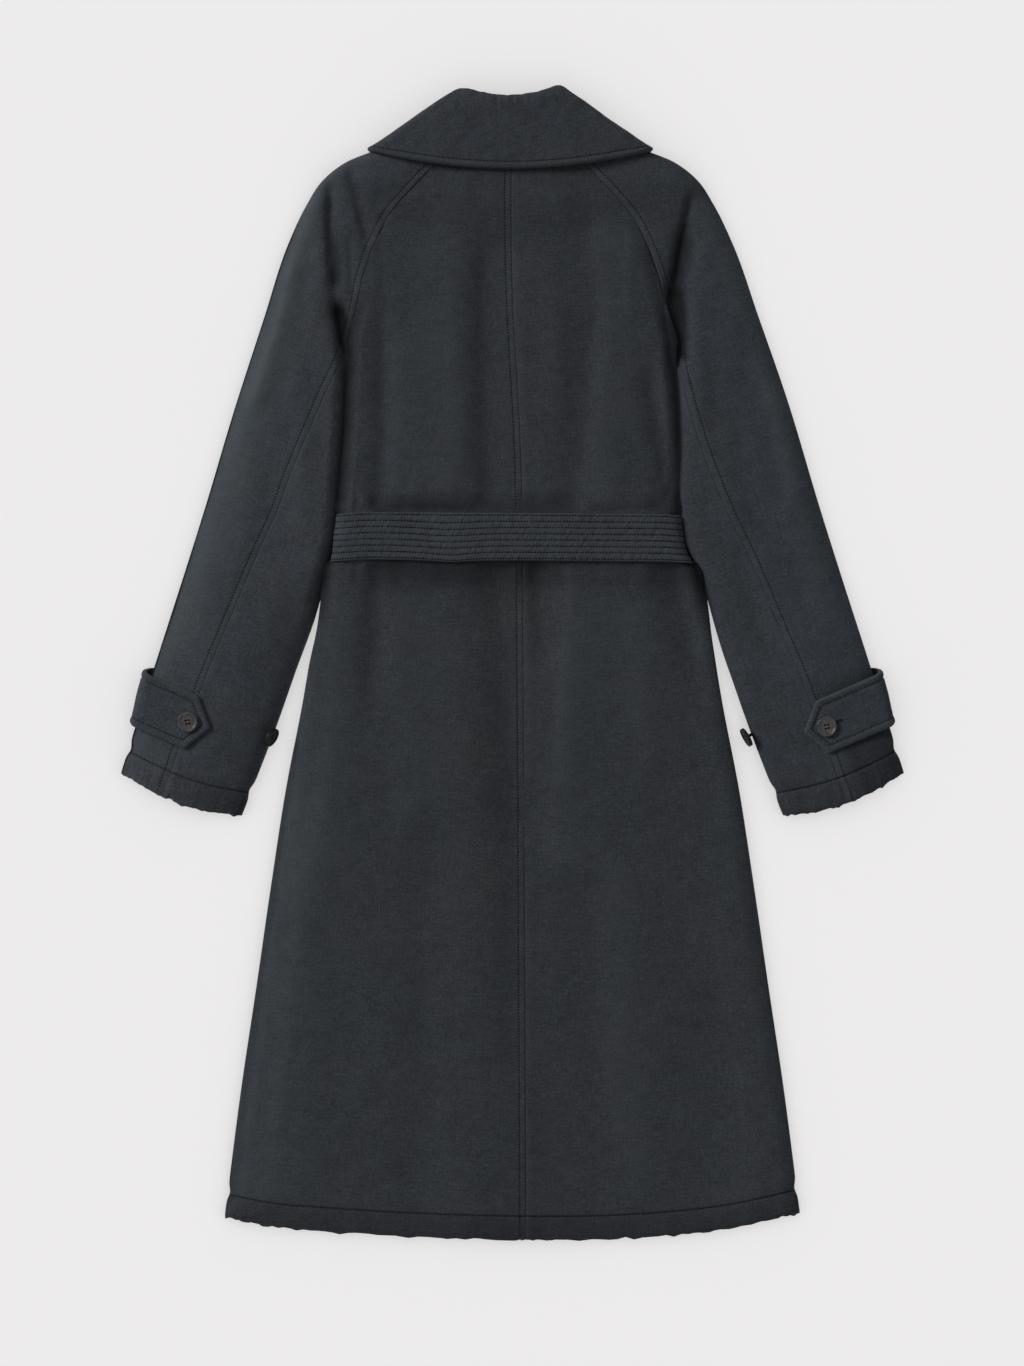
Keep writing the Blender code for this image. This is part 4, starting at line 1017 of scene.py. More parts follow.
SLEEVE_FOLDS = [
    Fold(x0=-0.186, y0=0.490, x1=-0.187, y1=0.450, bend=0.000, left=0.006, right=0.011, height=-0.0040),
    Fold(x0=-0.184, y0=0.430, x1=-0.183, y1=0.400, bend=0.000, left=0.007, right=0.014, height=-0.0056),
    Fold(x0=-0.188, y0=0.478, x1=-0.189, y1=0.420, bend=0.000, left=0.003, right=0.004, height=-0.0014),
    Fold(x0=-0.187, y0=0.408, x1=-0.177, y1=0.335, bend=0.000, left=0.003, right=0.006, height=-0.0010),
    Fold(x0=-0.180, y0=0.362, x1=-0.171, y1=0.312, bend=0.000, left=0.008, right=0.013, height=-0.0098),
    Fold(x0=-0.167, y0=0.438, x1=-0.166, y1=0.388, bend=0.000, left=0.004, right=0.006, height=-0.0020),
    Fold(x0=-0.182, y0=0.510, x1=-0.176, y1=0.482, bend=0.000, left=0.006, right=0.006, height=0.0016),
    Fold(x0=-0.165, y0=0.506, x1=-0.150, y1=0.446, bend=0.000, left=0.005, right=0.008, height=-0.0036),
    Fold(x0=-0.203, y0=0.480, x1=-0.227, y1=0.415, bend=0.000, left=0.008, right=0.014, height=0.0024),
    Fold(x0=-0.228, y0=0.405, x1=-0.266, y1=0.280, bend=0.003, left=0.008, right=0.013, height=0.0034),
    Fold(x0=-0.262, y0=0.280, x1=-0.281, y1=0.130, bend=-0.006, left=0.020, right=0.020, height=0.0026),
    Fold(x0=-0.258, y0=0.190, x1=-0.284, y1=0.075, bend=0.002, left=0.018, right=0.020, height=-0.0012),
    Fold(x0=-0.225, y0=0.280, x1=-0.222, y1=0.150, bend=0.004, left=0.012, right=0.012, height=0.0014),
    Fold(x0=-0.308, y0=0.120, x1=-0.330, y1=0.020, bend=-0.002, left=0.016, right=0.014, height=0.0018),
    Fold(x0=-0.268, y0=0.030, x1=-0.276, y1=-0.045, bend=0.003, left=0.012, right=0.012, height=-0.0016),
    Fold(x0=0.188, y0=0.480, x1=0.183, y1=0.458, bend=0.000, left=0.005, right=0.014, height=-0.0034),
    Fold(x0=0.178, y0=0.438, x1=0.173, y1=0.408, bend=0.000, left=0.008, right=0.018, height=-0.0068),
    Fold(x0=0.184, y0=0.476, x1=0.168, y1=0.400, bend=0.000, left=0.003, right=0.005, height=-0.0018),
    Fold(x0=0.168, y0=0.378, x1=0.172, y1=0.325, bend=0.000, left=0.009, right=0.016, height=-0.0110),
    Fold(x0=0.189, y0=0.368, x1=0.190, y1=0.322, bend=0.000, left=0.006, right=0.009, height=0.0014),
    Fold(x0=0.176, y0=0.324, x1=0.192, y1=0.308, bend=0.001, left=0.003, right=0.004, height=-0.0022),
    Fold(x0=0.178, y0=0.310, x1=0.190, y1=0.292, bend=0.001, left=0.003, right=0.004, height=-0.0018),
    Fold(x0=0.211, y0=0.300, x1=0.215, y1=0.250, bend=0.000, left=0.010, right=0.013, height=-0.0018),
    Fold(x0=0.236, y0=0.255, x1=0.256, y1=0.150, bend=-0.003, left=0.014, right=0.018, height=-0.0018),
    Fold(x0=0.262, y0=0.300, x1=0.292, y1=0.180, bend=0.002, left=0.010, right=0.016, height=0.0022),
    Fold(x0=0.290, y0=0.150, x1=0.318, y1=0.045, bend=0.002, left=0.012, right=0.018, height=0.0018),
    Fold(x0=0.240, y0=0.110, x1=0.266, y1=0.020, bend=-0.002, left=0.012, right=0.016, height=-0.0018),
    Fold(x0=0.300, y0=0.080, x1=0.312, y1=0.020, bend=0.001, left=0.008, right=0.012, height=-0.0012),
]
SLEEVE_FOLD_SPAN = (-0.020, 0.060)
SLEEVE_LUMPS = [Lumps(size=0.055, seed=11.0, height=0.0010), Lumps(size=0.016, seed=13.0, height=0.00030)]
SLEEVE_SEAM_RIDGES = [Ridge(at=0.0, width=0.0007, height=-0.0005), Ridge(at=0.0, width=0.004, height=-0.0001)]
SLEEVE_GATHERS = Gathers(spacing=0.010, seed=30.0, at=0.003, width=0.006, height=0.0004)
CUFF_RIDGES = [
    Ridge(at=CUFF_DEPTH, width=0.0010, height=-0.0016),
    Ridge(at=CUFF_DEPTH, width=0.0050, height=-0.0007),
]
CUFF_GATHERS = Gathers(spacing=0.010, seed=40.0, at=0.010, width=0.012, height=0.0012)
CUFF_RAGGED = Gathers(spacing=0.010, seed=20.0, at=0.0, width=0.007, height=0.0034)
CUFF_NIP = [Ridge(at=CUFF_DEPTH + 0.003, width=0.007, height=0.0024)]
CUFF_TURNED = 0.62 * WALL
CUFF_TURNED_UNDER = 0.3 * WALL
CUFF_SINK = 0.0020
CUFF_OPEN = [Ridge(at=0.0, width=0.020, height=0.0024)]
BELT_HOLLOW = [Ridge(at=BELT_Y, width=0.045, height=0.0050)]
TOP_PER_SECTION = 9
TOP_COLUMNS = 52
UNDER_COLUMNS = 26
CUFF_FINE = 0.935
CUFF_EDGE = 0.985
LOW_SHARES = joined(
    np.linspace(0.0, CUFF_FINE, 170),
    np.linspace(CUFF_FINE, CUFF_EDGE, 38),
    CUFF_EDGE + (1 - CUFF_EDGE) * closing(10),
)
SLEEVE_LENGTH = 0.500
THIN_STACK = 0.0042
LEAST_SLEEVE = 0.0034
LINING_DEPTH = 0.0013
LINING_DEPTH_UNDER = 0.0022
LINING_CURVE = 6
VALLEY_SHARE = {-1: 0.9, 1: 0.45}
OUTER_DROP = {-1: 0.0066, 1: 0.0034}
OUTER_REACH = {-1: 0.052, 1: 0.050}
OUTER_SPAN = (0.500, 0.440)
INNER_DROP = {-1: 0.0068, 1: 0.0016}
INNER_REACH = 0.060
INNER_SPAN = (0.120, 0.000)
SLEEVE_WORN = 0.22
CUFF_WORN = [Ridge(at=0.0, width=0.004, height=0.30)]
CUFF_SHADE = 0.12
OUTER_EDGE_WEAR_AND_HIGHLIGHT = {-1: 0.54, 1: 0.06}
SLEEVE_SHADE = {-1: 0.0075, 1: 0.0030}
DEEP_FOLD = (0.0030, 0.0090)
SHOULDER_SHADE = {-1: 0.22, 1: 0.04}
SHOULDER_LOW = (0.340, 0.390)
SHOULDER_OUT = (0.210, 0.185)
INNER_SHADE = {-1: 0.42, 1: 0.10}
INNER_SHADE_REACH = 0.070
INNER_SHADE_SPAN = (0.140, 0.000)
STRAP_TOP = -0.0250
STRAP_SHADE = {-1: 0.10, 1: 0.40}
STRAP_SHADE_REACH = 0.012
STRAP_SHADE_SPAN = (0.015, 0.045)
SLEEVE_TURN = math.radians(17)
# The left sleeve's cloth is made lighter than the right one's: painted light, as the light comes from the
# left.
SLEEVE_LIT_TONE = {-1: 1.24, 1: 1.06}
STITCHED_FROM = 14
CUFF_STITCHES = (0.006, 0.994)
LOW_SHARE = np.concatenate([np.zeros(TOP_ROWS - 1), LOW_SHARES])[:, None]
ROW = np.arange(len(LOW_SHARE))[:, None]
TO_CUFF = np.where(ROW < TOP_ROWS, 1.0, (1 - LOW_SHARE) * SLEEVE_LENGTH)
NEAR_NECK = np.clip(1 - ROW / TOP_PER_SECTION, 0.0, 1.0)
NEAR_UNDERARM = np.clip((ROW - (TOP_ROWS - 1 - TOP_PER_SECTION)) / TOP_PER_SECTION, 0.0, 1.0)


def outer_line():
    """Points down the sleeve's outer edge, one for each row of its mesh."""
    knots = np.array(SHOULDER_EDGE + SLEEVE_OUTER[1:])
    lengths = np.concatenate([[0.0], np.cumsum(np.hypot(*np.diff(knots, axis=0).T))])
    joint = lengths[len(SHOULDER_EDGE) - 1] / lengths[-1]
    return curve_at(knots, joined(np.linspace(0.0, joint, TOP_ROWS), joint + (1 - joint) * LOW_SHARES))


OUTER_LINE = outer_line()[:, None, :]
INNER_LINE = joined(RAGLAN_LINE, curve_at(SLEEVE_INNER, LOW_SHARES))[:, None, :]
INNER_LINE[..., 0] -= ridges(BELT_HOLLOW, INNER_LINE[..., 1])
NIP = unit(INNER_LINE - OUTER_LINE) * ridges(CUFF_NIP, TO_CUFF)[..., None]
OUTER_LINE = OUTER_LINE + NIP
INNER_LINE = INNER_LINE - NIP
SLEEVE_WIDTH = np.linalg.norm(INNER_LINE - OUTER_LINE, axis=-1)
BESIDE_BODY = beside_sleeve(INNER_LINE[..., 1])


def strap_frame(side):
    """The strap's point, the direction outward along it, and the direction across it towards the cuff."""
    outward = np.array([side * math.cos(STRAP_TURN), math.sin(STRAP_TURN)])
    across = np.array([side * math.sin(STRAP_TURN), -math.cos(STRAP_TURN)])
    tip = np.array([side * STRAP_TIP.x, STRAP_TIP.y]) + outward * STRAP_SLIP[side]
    return tip, outward, across


def on_strap(side, x, y):
    """How far points lie outward along the strap from its point, and across it towards the cuff."""
    tip, outward, across = strap_frame(side)
    return [(x - tip[0]) * way[0] + (y - tip[1]) * way[1] for way in (outward, across)]


def sleeve_lift(x, y, side):
    """Height of what a sleeve lies on: the floor, the collar's leaves or its own cuff strap."""
    across = on_strap(side, x, y)[1]
    return collar_lift(x, y) + STRAP_LIFT * step(STRAP_PLATEAU - STRAP_EASE, STRAP_PLATEAU, across)


def sleeve_plan(side, distance):
    """Place on the floor of points at a distance from the sleeve's outer edge, row by row."""
    share = distance / SLEEVE_WIDTH
    point = OUTER_LINE + (INNER_LINE - OUTER_LINE) * share[..., None]
    x = point[..., 0]
    bow = CUFF_BOW * LOW_SHARE**CUFF_BOW_CURVE * np.sin(math.pi * np.clip(share, 0.0, 1.0))
    y = point[..., 1] - bow + gathered(CUFF_RAGGED, distance, TO_CUFF, side)
    return side * x, y + (NECK_Y + NECK_CURVE * x**2 - y) * NEAR_NECK


def sleeve_rolled(side, distance):
    """How far the sleeve's surface has rolled towards its middle at a distance from the outer edge."""
    raglan_roll = roll_share(INNER_LINE[..., 1]) * (WALL - SEAM_WALL)
    inner_roll = raglan_roll + (STACK / 2 - raglan_roll) * NEAR_UNDERARM
    inward = SLEEVE_WIDTH - distance
    valley = BESIDE_BODY * hollow(inward, VALLEY_SHARE[side] * VALLEY) * inner_roll
    return np.maximum(roll(distance) * STACK / 2, np.maximum(roll(inward) * inner_roll, valley))


def sleeve_relief(x, y):
    folds = fold_height(SLEEVE_FOLDS, x, y) * step(*SLEEVE_FOLD_SPAN, y)
    edge = collar_edge_y(x)
    return folds + lumpy(SLEEVE_LUMPS, x, y) * (1 - step(edge - COLLAR_SHELTER, edge, y))


def sleeve_seams(side):
    """How far the back and front seams lie from the sleeve's outer edge, row by row."""
    station, left, right, front = zip(*SLEEVE_SEAMS)
    above = 1 - (1 - SLEEVE_SEAMS[0].left) * NEAR_UNDERARM
    seams = []
    for shares in (right if side > 0 else left, front):
        below = smooth_through(station, shares, LOW_SHARE)
        seams.append(SLEEVE_WIDTH * np.where(ROW >= TOP_ROWS - 1, below, above))
    return seams


def sleeve_height(side, distance, from_seam, topstitched):
    """Upper surface of the sleeve, at distances from its outer edge and from its back seam."""
    x, y = sleeve_plan(side, distance)
    rolled = sleeve_rolled(side, distance)
    flat = 1 - np.clip(rolled / (STACK / 2), 0.0, 1.0) ** 2
    sloped = OUTER_DROP[side] * hollow(distance, OUTER_REACH[side]) * step(*OUTER_SPAN, y)
    sloped = sloped + INNER_DROP[side] * hollow(SLEEVE_WIDTH - distance, INNER_REACH) * step(*INNER_SPAN, y)
    raised = (sleeve_relief(x, y) - sloped) * flat
    raised = raised + ridges(SLEEVE_SEAM_RIDGES, from_seam) + gathered(SLEEVE_GATHERS, y, from_seam, side)
    if topstitched:
        raised = raised + ridges(STITCH_RIDGES, from_seam)
    raised = raised + ridges(CUFF_RIDGES, TO_CUFF) + gathered(CUFF_GATHERS, distance, TO_CUFF, side)
    raised = raised - CUFF_TURNED * (1 - rounded(TO_CUFF, EDGE_ROUND))
    raised = raised - CUFF_SINK * hollow(TO_CUFF, CUFF_DEPTH)
    height = np.maximum(STACK - rolled + raised, np.minimum(STACK - rolled, THIN_STACK))
    return x, y, sleeve_lift(x, y, side) + height


def sleeve_wear_and_shading(side, x, y, distance, from_seam):
    """How rubbed the sleeve's upper side is, with painted highlight along its outer edge; below zero, how
    much painted shade lies on it.
    """
    relief = sleeve_relief(x, y)
    inward = SLEEVE_WIDTH - distance
    wear_and_light = ridge_wear(relief, SLEEVE_WORN) + ridges(SEAM_WORN, from_seam) + ridges(CUFF_WORN, TO_CUFF)
    # Along the outer edge: a painted highlight where light catches the roll, strong on the left sleeve, with
    # a little rubbing.
    wear_and_light = wear_and_light + OUTER_EDGE_WEAR_AND_HIGHLIGHT[side] * hollow(distance, OUTER_REACH[side])
    # Painted shade in the valley beside the body, in fold troughs, on the turned cuff, near the shoulder
    # seam, towards the inner edge and above the strap where its shadow falls.
    valley = BESIDE_BODY * groove(inward, SLEEVE_SHADE[side])
    painted_shade = PAINTED_VALLEY_SHADE * np.maximum(valley, step(*DEEP_FOLD, -relief))
    painted_shade = painted_shade + turned_painted_shade(TO_CUFF, CUFF_DEPTH, CUFF_SHADE)
    painted_shade = painted_shade + SHOULDER_SHADE[side] * step(*SHOULDER_LOW, y) * step(*SHOULDER_OUT, np.abs(x))
    painted_shade = painted_shade + INNER_SHADE[side] * hollow(inward, INNER_SHADE_REACH) * step(*INNER_SHADE_SPAN, y)
    along, across = on_strap(side, x, y)
    by_strap = groove(np.maximum(STRAP_TOP - across, 0.0), STRAP_SHADE_REACH) * step(*STRAP_SHADE_SPAN, along)
    return wear_and_light - painted_shade - STRAP_SHADE[side] * by_strap


def sleeve_piece(name, side, start, fold, finish, columns, rows, shift, topstitched):
    """A piece of sleeve from its back seam, round a fold, to its front seam; also its outer points."""
    span = np.abs(fold - start)
    toward = np.sign(fold - start)
    near = np.minimum(NEAR_SEAM[None, :], span * np.linspace(0.0, 0.7, len(NEAR_SEAM))[None, :])
    upper = columns_to(near, span, columns)
    back = 1 - opening(columns // 2 + 1)[None, 1:]
    top_distance = start + toward * upper
    low_distance = finish + (fold - finish) * back
    x, y, z = sleeve_height(side, top_distance, np.abs(top_distance - start), topstitched)
    low_x, low_y, over_z = sleeve_height(side, low_distance, np.abs(low_distance - start), False)
    turned_up = CUFF_TURNED_UNDER * (1 - rounded(TO_CUFF, EDGE_ROUND))
    low_z = sleeve_lift(low_x, low_y, side) + sleeve_rolled(side, low_distance) + turned_up
    low_z = np.minimum(low_z, np.maximum(over_z - LEAST_SLEEVE, 0.0))
    outer = np.concatenate([stacked(x, y, z), stacked(low_x, low_y, low_z)], axis=1)
    share = np.concatenate([upper / span, np.broadcast_to(back, low_x.shape)], axis=1)
    seam = np.concatenate([np.broadcast_to(start, x.shape), np.broadcast_to(finish, low_x.shape)], axis=1)
    lining_fold = fold - toward * np.minimum(FOLD_WALL, 0.5 * span)
    lining_distance = seam + (lining_fold - seam) * share
    lining_x, lining_y, face_z = sleeve_height(side, lining_distance, np.abs(lining_distance - start), False)
    on_top = np.arange(share.shape[1]) < upper.shape[1]
    opened = (LAYER_GAP / 2 + ridges(CUFF_OPEN, TO_CUFF)) * (1 - share**LINING_CURVE)
    slit = sleeve_lift(lining_x, lining_y, side) + STACK / 2 + opened * np.where(on_top, 1.0, -1.0)
    deepest = face_z - np.where(on_top, LINING_DEPTH, LINING_DEPTH_UNDER)
    inner = stacked(lining_x, lining_y, np.minimum(slit, deepest))
    wear_and_lighting = sleeve_wear_and_shading(side, x, y, top_distance, np.abs(top_distance - start))
    wear_and_light = np.concatenate([wear_and_lighting, np.zeros(low_x.shape)], axis=1)
    cloth = washed_cloth(f"{name}_cloth", shift, side * SLEEVE_TURN, SLEEVE_LIT_TONE[side])
    return cloth_wall(name, outer[rows], inner[rows], cloth, wear_and_light[rows]), outer[rows]


ALL_ROWS = slice(None)
LOW_ROWS = slice(TOP_ROWS - 1, None)
for side in (-1, 1):
    back_seam, front_seam = sleeve_seams(side)
    name = side_name("top_sleeve", side)
    shift = (0.55 * side, 0.37, 0.2)
    piece, grid = sleeve_piece(
        name, side, back_seam, 0 * back_seam, front_seam, TOP_COLUMNS, ALL_ROWS, shift, True
    )
    stitched = back_seam - STITCH_INSET
    inset = np.full(stitched.shape, STITCH_INSET)
    line = stacked(*sleeve_height(side, stitched, inset, True))[STITCHED_FROM:, 0]
    cuff_row = int(np.argmin(np.abs(TO_CUFF[:, 0] - CUFF_DEPTH)))
    across = np.linspace(*CUFF_STITCHES, 120)[None, :] * SLEEVE_WIDTH
    cuff = stacked(*sleeve_height(side, across, np.abs(across - back_seam), True))[cuff_row]
    stitching = sewing(side_name("sleeve_sewing", side), [(line, UP), (cuff, UP)])
    laid_cloth(piece, side_name("sleeve_top", side))
    name = side_name("under_sleeve", side)
    shift = (0.71 * side, -0.13, 0.3)
    start = back_seam - SEAM_TUCK
    finish = front_seam - SEAM_TUCK
    piece, grid = sleeve_piece(name, side, start, SLEEVE_WIDTH, finish, UNDER_COLUMNS, LOW_ROWS, shift, False)
    laid_cloth(piece, side_name("sleeve_under", side))

# Collar. A turned-down collar of two pieces: the fall, which rolls over at the neck and wraps round to two
# leaves under the fronts, with a fat, topstitched edge, and the stand inside it, sewn to the neck.
COLLAR_WALL = 0.006
STAND_WALL = 0.004
COLLAR_TOP_HALF = 0.0668
COLLAR_BULGE = 0.0048
COLLAR_FOLD = 0.018
COLLAR_OPENING = 0.012
COLLAR_SPREAD = 0.035
COLLAR_DOME = 1.35 * LAP_HEIGHT
DOME_CURVE = 4
COLLAR_LENGTH = 0.078
COLLAR_STITCH = 0.0074
COLLAR_TIP = 0.0036
COLLAR_TIP_SPAN = (0.92, 1.0)
COLLAR_COLUMNS = 96
COLLAR_RIDGES = [
    Ridge(at=0.0032, width=0.0030, height=0.0009),
    Ridge(at=COLLAR_STITCH, width=0.0009, height=-0.0005),
]
COLLAR_EDGE_ROUND = 0.0040
COLLAR_ROLL_ROUND = 0.010
COLLAR_EDGE_TURN = 0.5 * COLLAR_WALL
COLLAR_LINING_TURN = 0.4 * COLLAR_WALL
COLLAR_ROLL_TURN = 0.8 * COLLAR_WALL
COLLAR_LUMPS = [Lumps(size=0.040, seed=60.0, height=0.0011)]
COLLAR_FINE_LUMPS = [Lumps(size=0.014, seed=62.0, height=0.0004)]
LUMP_LEAN = 0.2
LUMP_SPAN = (0.0, 0.012)
COLLAR_GATHERS = Gathers(spacing=0.009, seed=64.0, at=0.0, width=0.012, height=0.0016)
GATHERS_HALF = 0.035
ROLL_PUCKER = Gathers(spacing=0.17, seed=50.0, at=0.0, width=1.0, height=0.0009)
ROLL_PUCKER_CURVE = 6
COLLAR_EDGE_WORN = [Ridge(at=0.0, width=0.003, height=0.30)]
COLLAR_ROLL_WORN = [Ridge(at=0.0, width=0.008, height=0.12)]
STAND_COLUMNS = 60
STAND_ROWS = 13
STAND_CLEARANCE = 0.0005
STAND_INSET = 0.0030
STAND_DROP = 0.004
STAND_REACH = 0.0085
NECK_GAP = 0.0007
WRAP_CURVE = 0.8
Roll = namedtuple("Roll", "across y")
ROLL_LINE = [
    Roll(across=-1.00, y=0.5915),
    Roll(across=-0.80, y=0.5968),
    Roll(across=-0.39, y=0.5920),
    Roll(across=0.08, y=0.5899),
    Roll(across=0.55, y=0.5956),
    Roll(across=0.78, y=0.6000),
    Roll(across=1.00, y=0.5920),
]
ROLL_END = 0.10
FALL_END = 0.84
COLLAR_SHARES = joined(
    ROLL_END * opening(9),
    np.linspace(ROLL_END, FALL_END, 40),
    np.linspace(FALL_END, 1.0, 30),
)


def wrap(half_width, half_height, columns):
    """Points from the top of a rounded side, round it, to its bottom, about the side's own centre."""
    angle = np.linspace(math.pi / 2, -math.pi / 2, columns + 1)
    x = half_width * np.abs(np.cos(angle)) ** WRAP_CURVE
    z = half_height * np.sign(np.sin(angle)) * np.abs(np.sin(angle)) ** WRAP_CURVE
    return x, z


def round_path(front, reach, across, dome, side_x, side_z):
    """Points of a band, from one front end round a side, over the back, and round the other side."""
    floor = np.full(len(front), side_z[-1])
    x = np.concatenate([front, (reach + side_x)[::-1], across, -reach - side_x, -front[::-1]])
    z = np.concatenate([floor, side_z[::-1], side_z[0] + dome, side_z, floor])
    return x, z


def path_facing(x, z):
    """Outward direction of a path that runs from the right leaf over the top to the left one."""
    along_x, along_z = np.gradient(x), np.gradient(z)
    length = np.hypot(along_x, along_z)
    return along_z / length, -along_x / length


def roll_line_y(share):
    across = np.clip(share, -1.0, 1.0)
    puckered = gathered(ROLL_PUCKER, across, 0.0) * (1 - across**ROLL_PUCKER_CURVE)
    return smooth_through(*zip(*ROLL_LINE), across) + puckered


def collar_path(half_width, gap, inset, columns):
    """Points across a collar piece, from one front edge round the neck to the other."""
    middle = COLLAR_LIFT + STACK / 2
    reach = half_width - COLLAR_FOLD
    side_x, side_z = wrap(COLLAR_FOLD - inset, middle - inset, columns // 4)
    across = np.linspace(reach, -reach, columns + 1)[1:-1]
    leaf = np.linspace(gap, reach, columns // 6 + 1)[:-1]
    dome = COLLAR_DOME * (1 - (across / reach) ** DOME_CURVE)
    return round_path(leaf, reach, across, dome, side_x, side_z + middle)


def collar_row(share, inset):
    """Points and outward directions across the fall, at a share of the way from its roll to its edge."""
    half_width = COLLAR_TOP_HALF + (COLLAR_EDGE_HALF - COLLAR_TOP_HALF) * share
    half_width += COLLAR_BULGE * math.sin(math.pi * share) - COLLAR_TIP * step(*COLLAR_TIP_SPAN, share)
    x, z = collar_path(half_width, COLLAR_OPENING + COLLAR_SPREAD * share, inset, COLLAR_COLUMNS)
    y = (1 - share) * roll_line_y(x / half_width) + share * collar_edge_y(x)
    out_x, out_z = path_facing(x, z)
    to_edge = (1 - share) * COLLAR_LENGTH
    to_roll = share * COLLAR_LENGTH
    edge_turned = 1 - rounded(to_edge, COLLAR_EDGE_ROUND)
    if inset == 0.0:
        roll_turned = 1 - rounded(to_roll, COLLAR_ROLL_ROUND)
        moved = ridges(COLLAR_RIDGES, to_edge) - COLLAR_EDGE_TURN * edge_turned
        moved = moved - COLLAR_ROLL_TURN * roll_turned
        lumps = lumpy(COLLAR_LUMPS, x + LUMP_LEAN * z, y) + lumpy(COLLAR_FINE_LUMPS, x, y)
        moved = moved + lumps * step(*LUMP_SPAN, min(to_edge, to_roll))
        moved = moved + gathered(COLLAR_GATHERS, x, to_roll) * groove(x, GATHERS_HALF)
    else:
        moved = COLLAR_LINING_TURN * edge_turned
    points = stacked(x + out_x * moved, y, np.maximum(z + out_z * moved, 0.0))
    return points, stacked(out_x, 0.0, out_z)


collar_outer = np.array([collar_row(share, 0.0)[0] for share in COLLAR_SHARES])
collar_inner = np.array([collar_row(share, COLLAR_WALL)[0] for share in COLLAR_SHARES])
to_edge = (1 - COLLAR_SHARES[:, None]) * COLLAR_LENGTH + 0 * collar_outer[..., 0]
wear_and_light = ridges(COLLAR_EDGE_WORN, to_edge) + ridges(COLLAR_ROLL_WORN, COLLAR_LENGTH - to_edge)
cloth = washed_cloth("collar_cloth", (-0.21, 0.47, 0.4), 0.4)
piece = cloth_wall("collar", collar_outer, collar_inner, cloth, wear_and_light)
points, facing = collar_row(1 - COLLAR_STITCH / COLLAR_LENGTH, 0.0)
shown = points[:, 2] > COLLAR_LIFT / 2
stitching = sewing("collar_sewing", [(points[shown], facing[shown])])
laid_cloth(piece, "collar_fall")

top_half = COLLAR_TOP_HALF - STAND_INSET
neck_half = SHOULDER_EDGE[0].x + STAND_REACH
stand = []
for wall in (0.0, STAND_WALL):
    grid = []
    for share in np.linspace(0.0, 1.0, STAND_ROWS):
        half_width = top_half + (neck_half - top_half) * share
        x, z = collar_path(half_width, COLLAR_OPENING, COLLAR_WALL + STAND_CLEARANCE + wall, STAND_COLUMNS)
        roll_y = roll_line_y(x / half_width) - STAND_DROP
        neck_y = NECK_Y + NECK_CURVE * x**2 + NECK_GAP
        grid.append(stacked(x, (1 - share) * roll_y + share * neck_y, z))
    stand.append(np.array(grid))
cloth = washed_cloth("stand_cloth", (0.12, -0.41, 0.5), 0.2)
piece = cloth_wall("collar_band", *stand, cloth, np.zeros(stand[0].shape[:2]))
laid_cloth(piece, "collar_stand")

# Belt. A stiff double layer of the shell cloth, sewn into channels by eight rows of stitching, and drawn
# round the waist over the back and under the fronts, where it is closed with a plain seam.
BELT_TILT = -0.0076
BELT_WALL = 0.0024
BELT_PUFF = 0.0006
BELT_EDGE_PUFF = 0.4
BELT_PUFF_CURVE = 0.4
BELT_ROWS = 8
BELT_FINE = 8
BELT_EDGE = 0.0023
BELT_EDGE_ROUND = 0.0016
BELT_EDGE_SHARES = np.array([0.0, 0.12, 0.35, 0.65, 1.0])
BELT_SLACK = 0.0025
BELT_COLUMNS = 330
BELT_SIDE_COLUMNS = 24
BELT_FRONT_COLUMNS = 30
BELT_THREAD = 0.00066
BELT_TONE = 1.07
BELT_WORN = 0.16
BELT_EDGE_WORN = 0.0014
UPPER_EDGE_WEAR = 0.20
LOWER_EDGE_WEAR_AND_HIGHLIGHT = 0.60
GATHER_TURN = 1.0
GATHER_LENGTH = 0.010
GATHER_WIDTH = 0.0032
BELT_CREASES = [Lumps(size=1.0, seed=70.0, height=0.00048)]
BELT_LUMPS = [Lumps(size=0.030, seed=71.0, height=0.0004)]
SAG = [Ridge(at=-0.066, width=0.034, height=-0.0026)]
SAG_TOP = (0.012, 0.026)
SAG_FOOT = (-0.036, -0.014)
RUMPLE = [Ridge(at=-0.062, width=0.012, height=-0.0011)]
RUMPLE_ROW = -0.020
RUMPLE_WIDTH = 0.008
LEFT_DROP = 0.0022
LEFT_SPAN = (-0.150, -0.190)
RIGHT_DROP = 0.0010
RIGHT_SPAN = (0.160, 0.190)


def belt_sag(x, row):
    """How far a line of the belt sags where it is slack, and turns down at its ends."""
    slack = ridges(SAG, x) * (1 - step(*SAG_TOP, row)) * step(*SAG_FOOT, row)
    rumple = ridges(RUMPLE, x) * groove(row - RUMPLE_ROW, RUMPLE_WIDTH)
    return slack + rumple - LEFT_DROP * step(*LEFT_SPAN, x) - RIGHT_DROP * step(*RIGHT_SPAN, x)


def belt_path(row, outset):
    """Points round the belt, from its seam at the hidden front and back to it."""
    reach = float(edge_x(SIDE, BELT_Y + row)) - ROLL
    middle = BELT_LIFT + STACK / 2
    side_x, side_z = wrap(ROLL + BELT_SLACK + outset, STACK / 2 + REST_GAP + outset, BELT_SIDE_COLUMNS)
    across = np.linspace(reach, -reach, BELT_COLUMNS + 1)[1:-1]
    dome = LAP_HEIGHT * lapped(across, np.full(len(across), BELT_Y))
    front = np.linspace(SEAM_GAP / 2, reach, BELT_FRONT_COLUMNS + 1)[:-1]
    x, z = round_path(front, reach, across, dome, side_x, np.maximum(side_z, -middle) + middle)
    return stacked(x, BELT_Y + row + BELT_TILT * x + belt_sag(x, row), z)


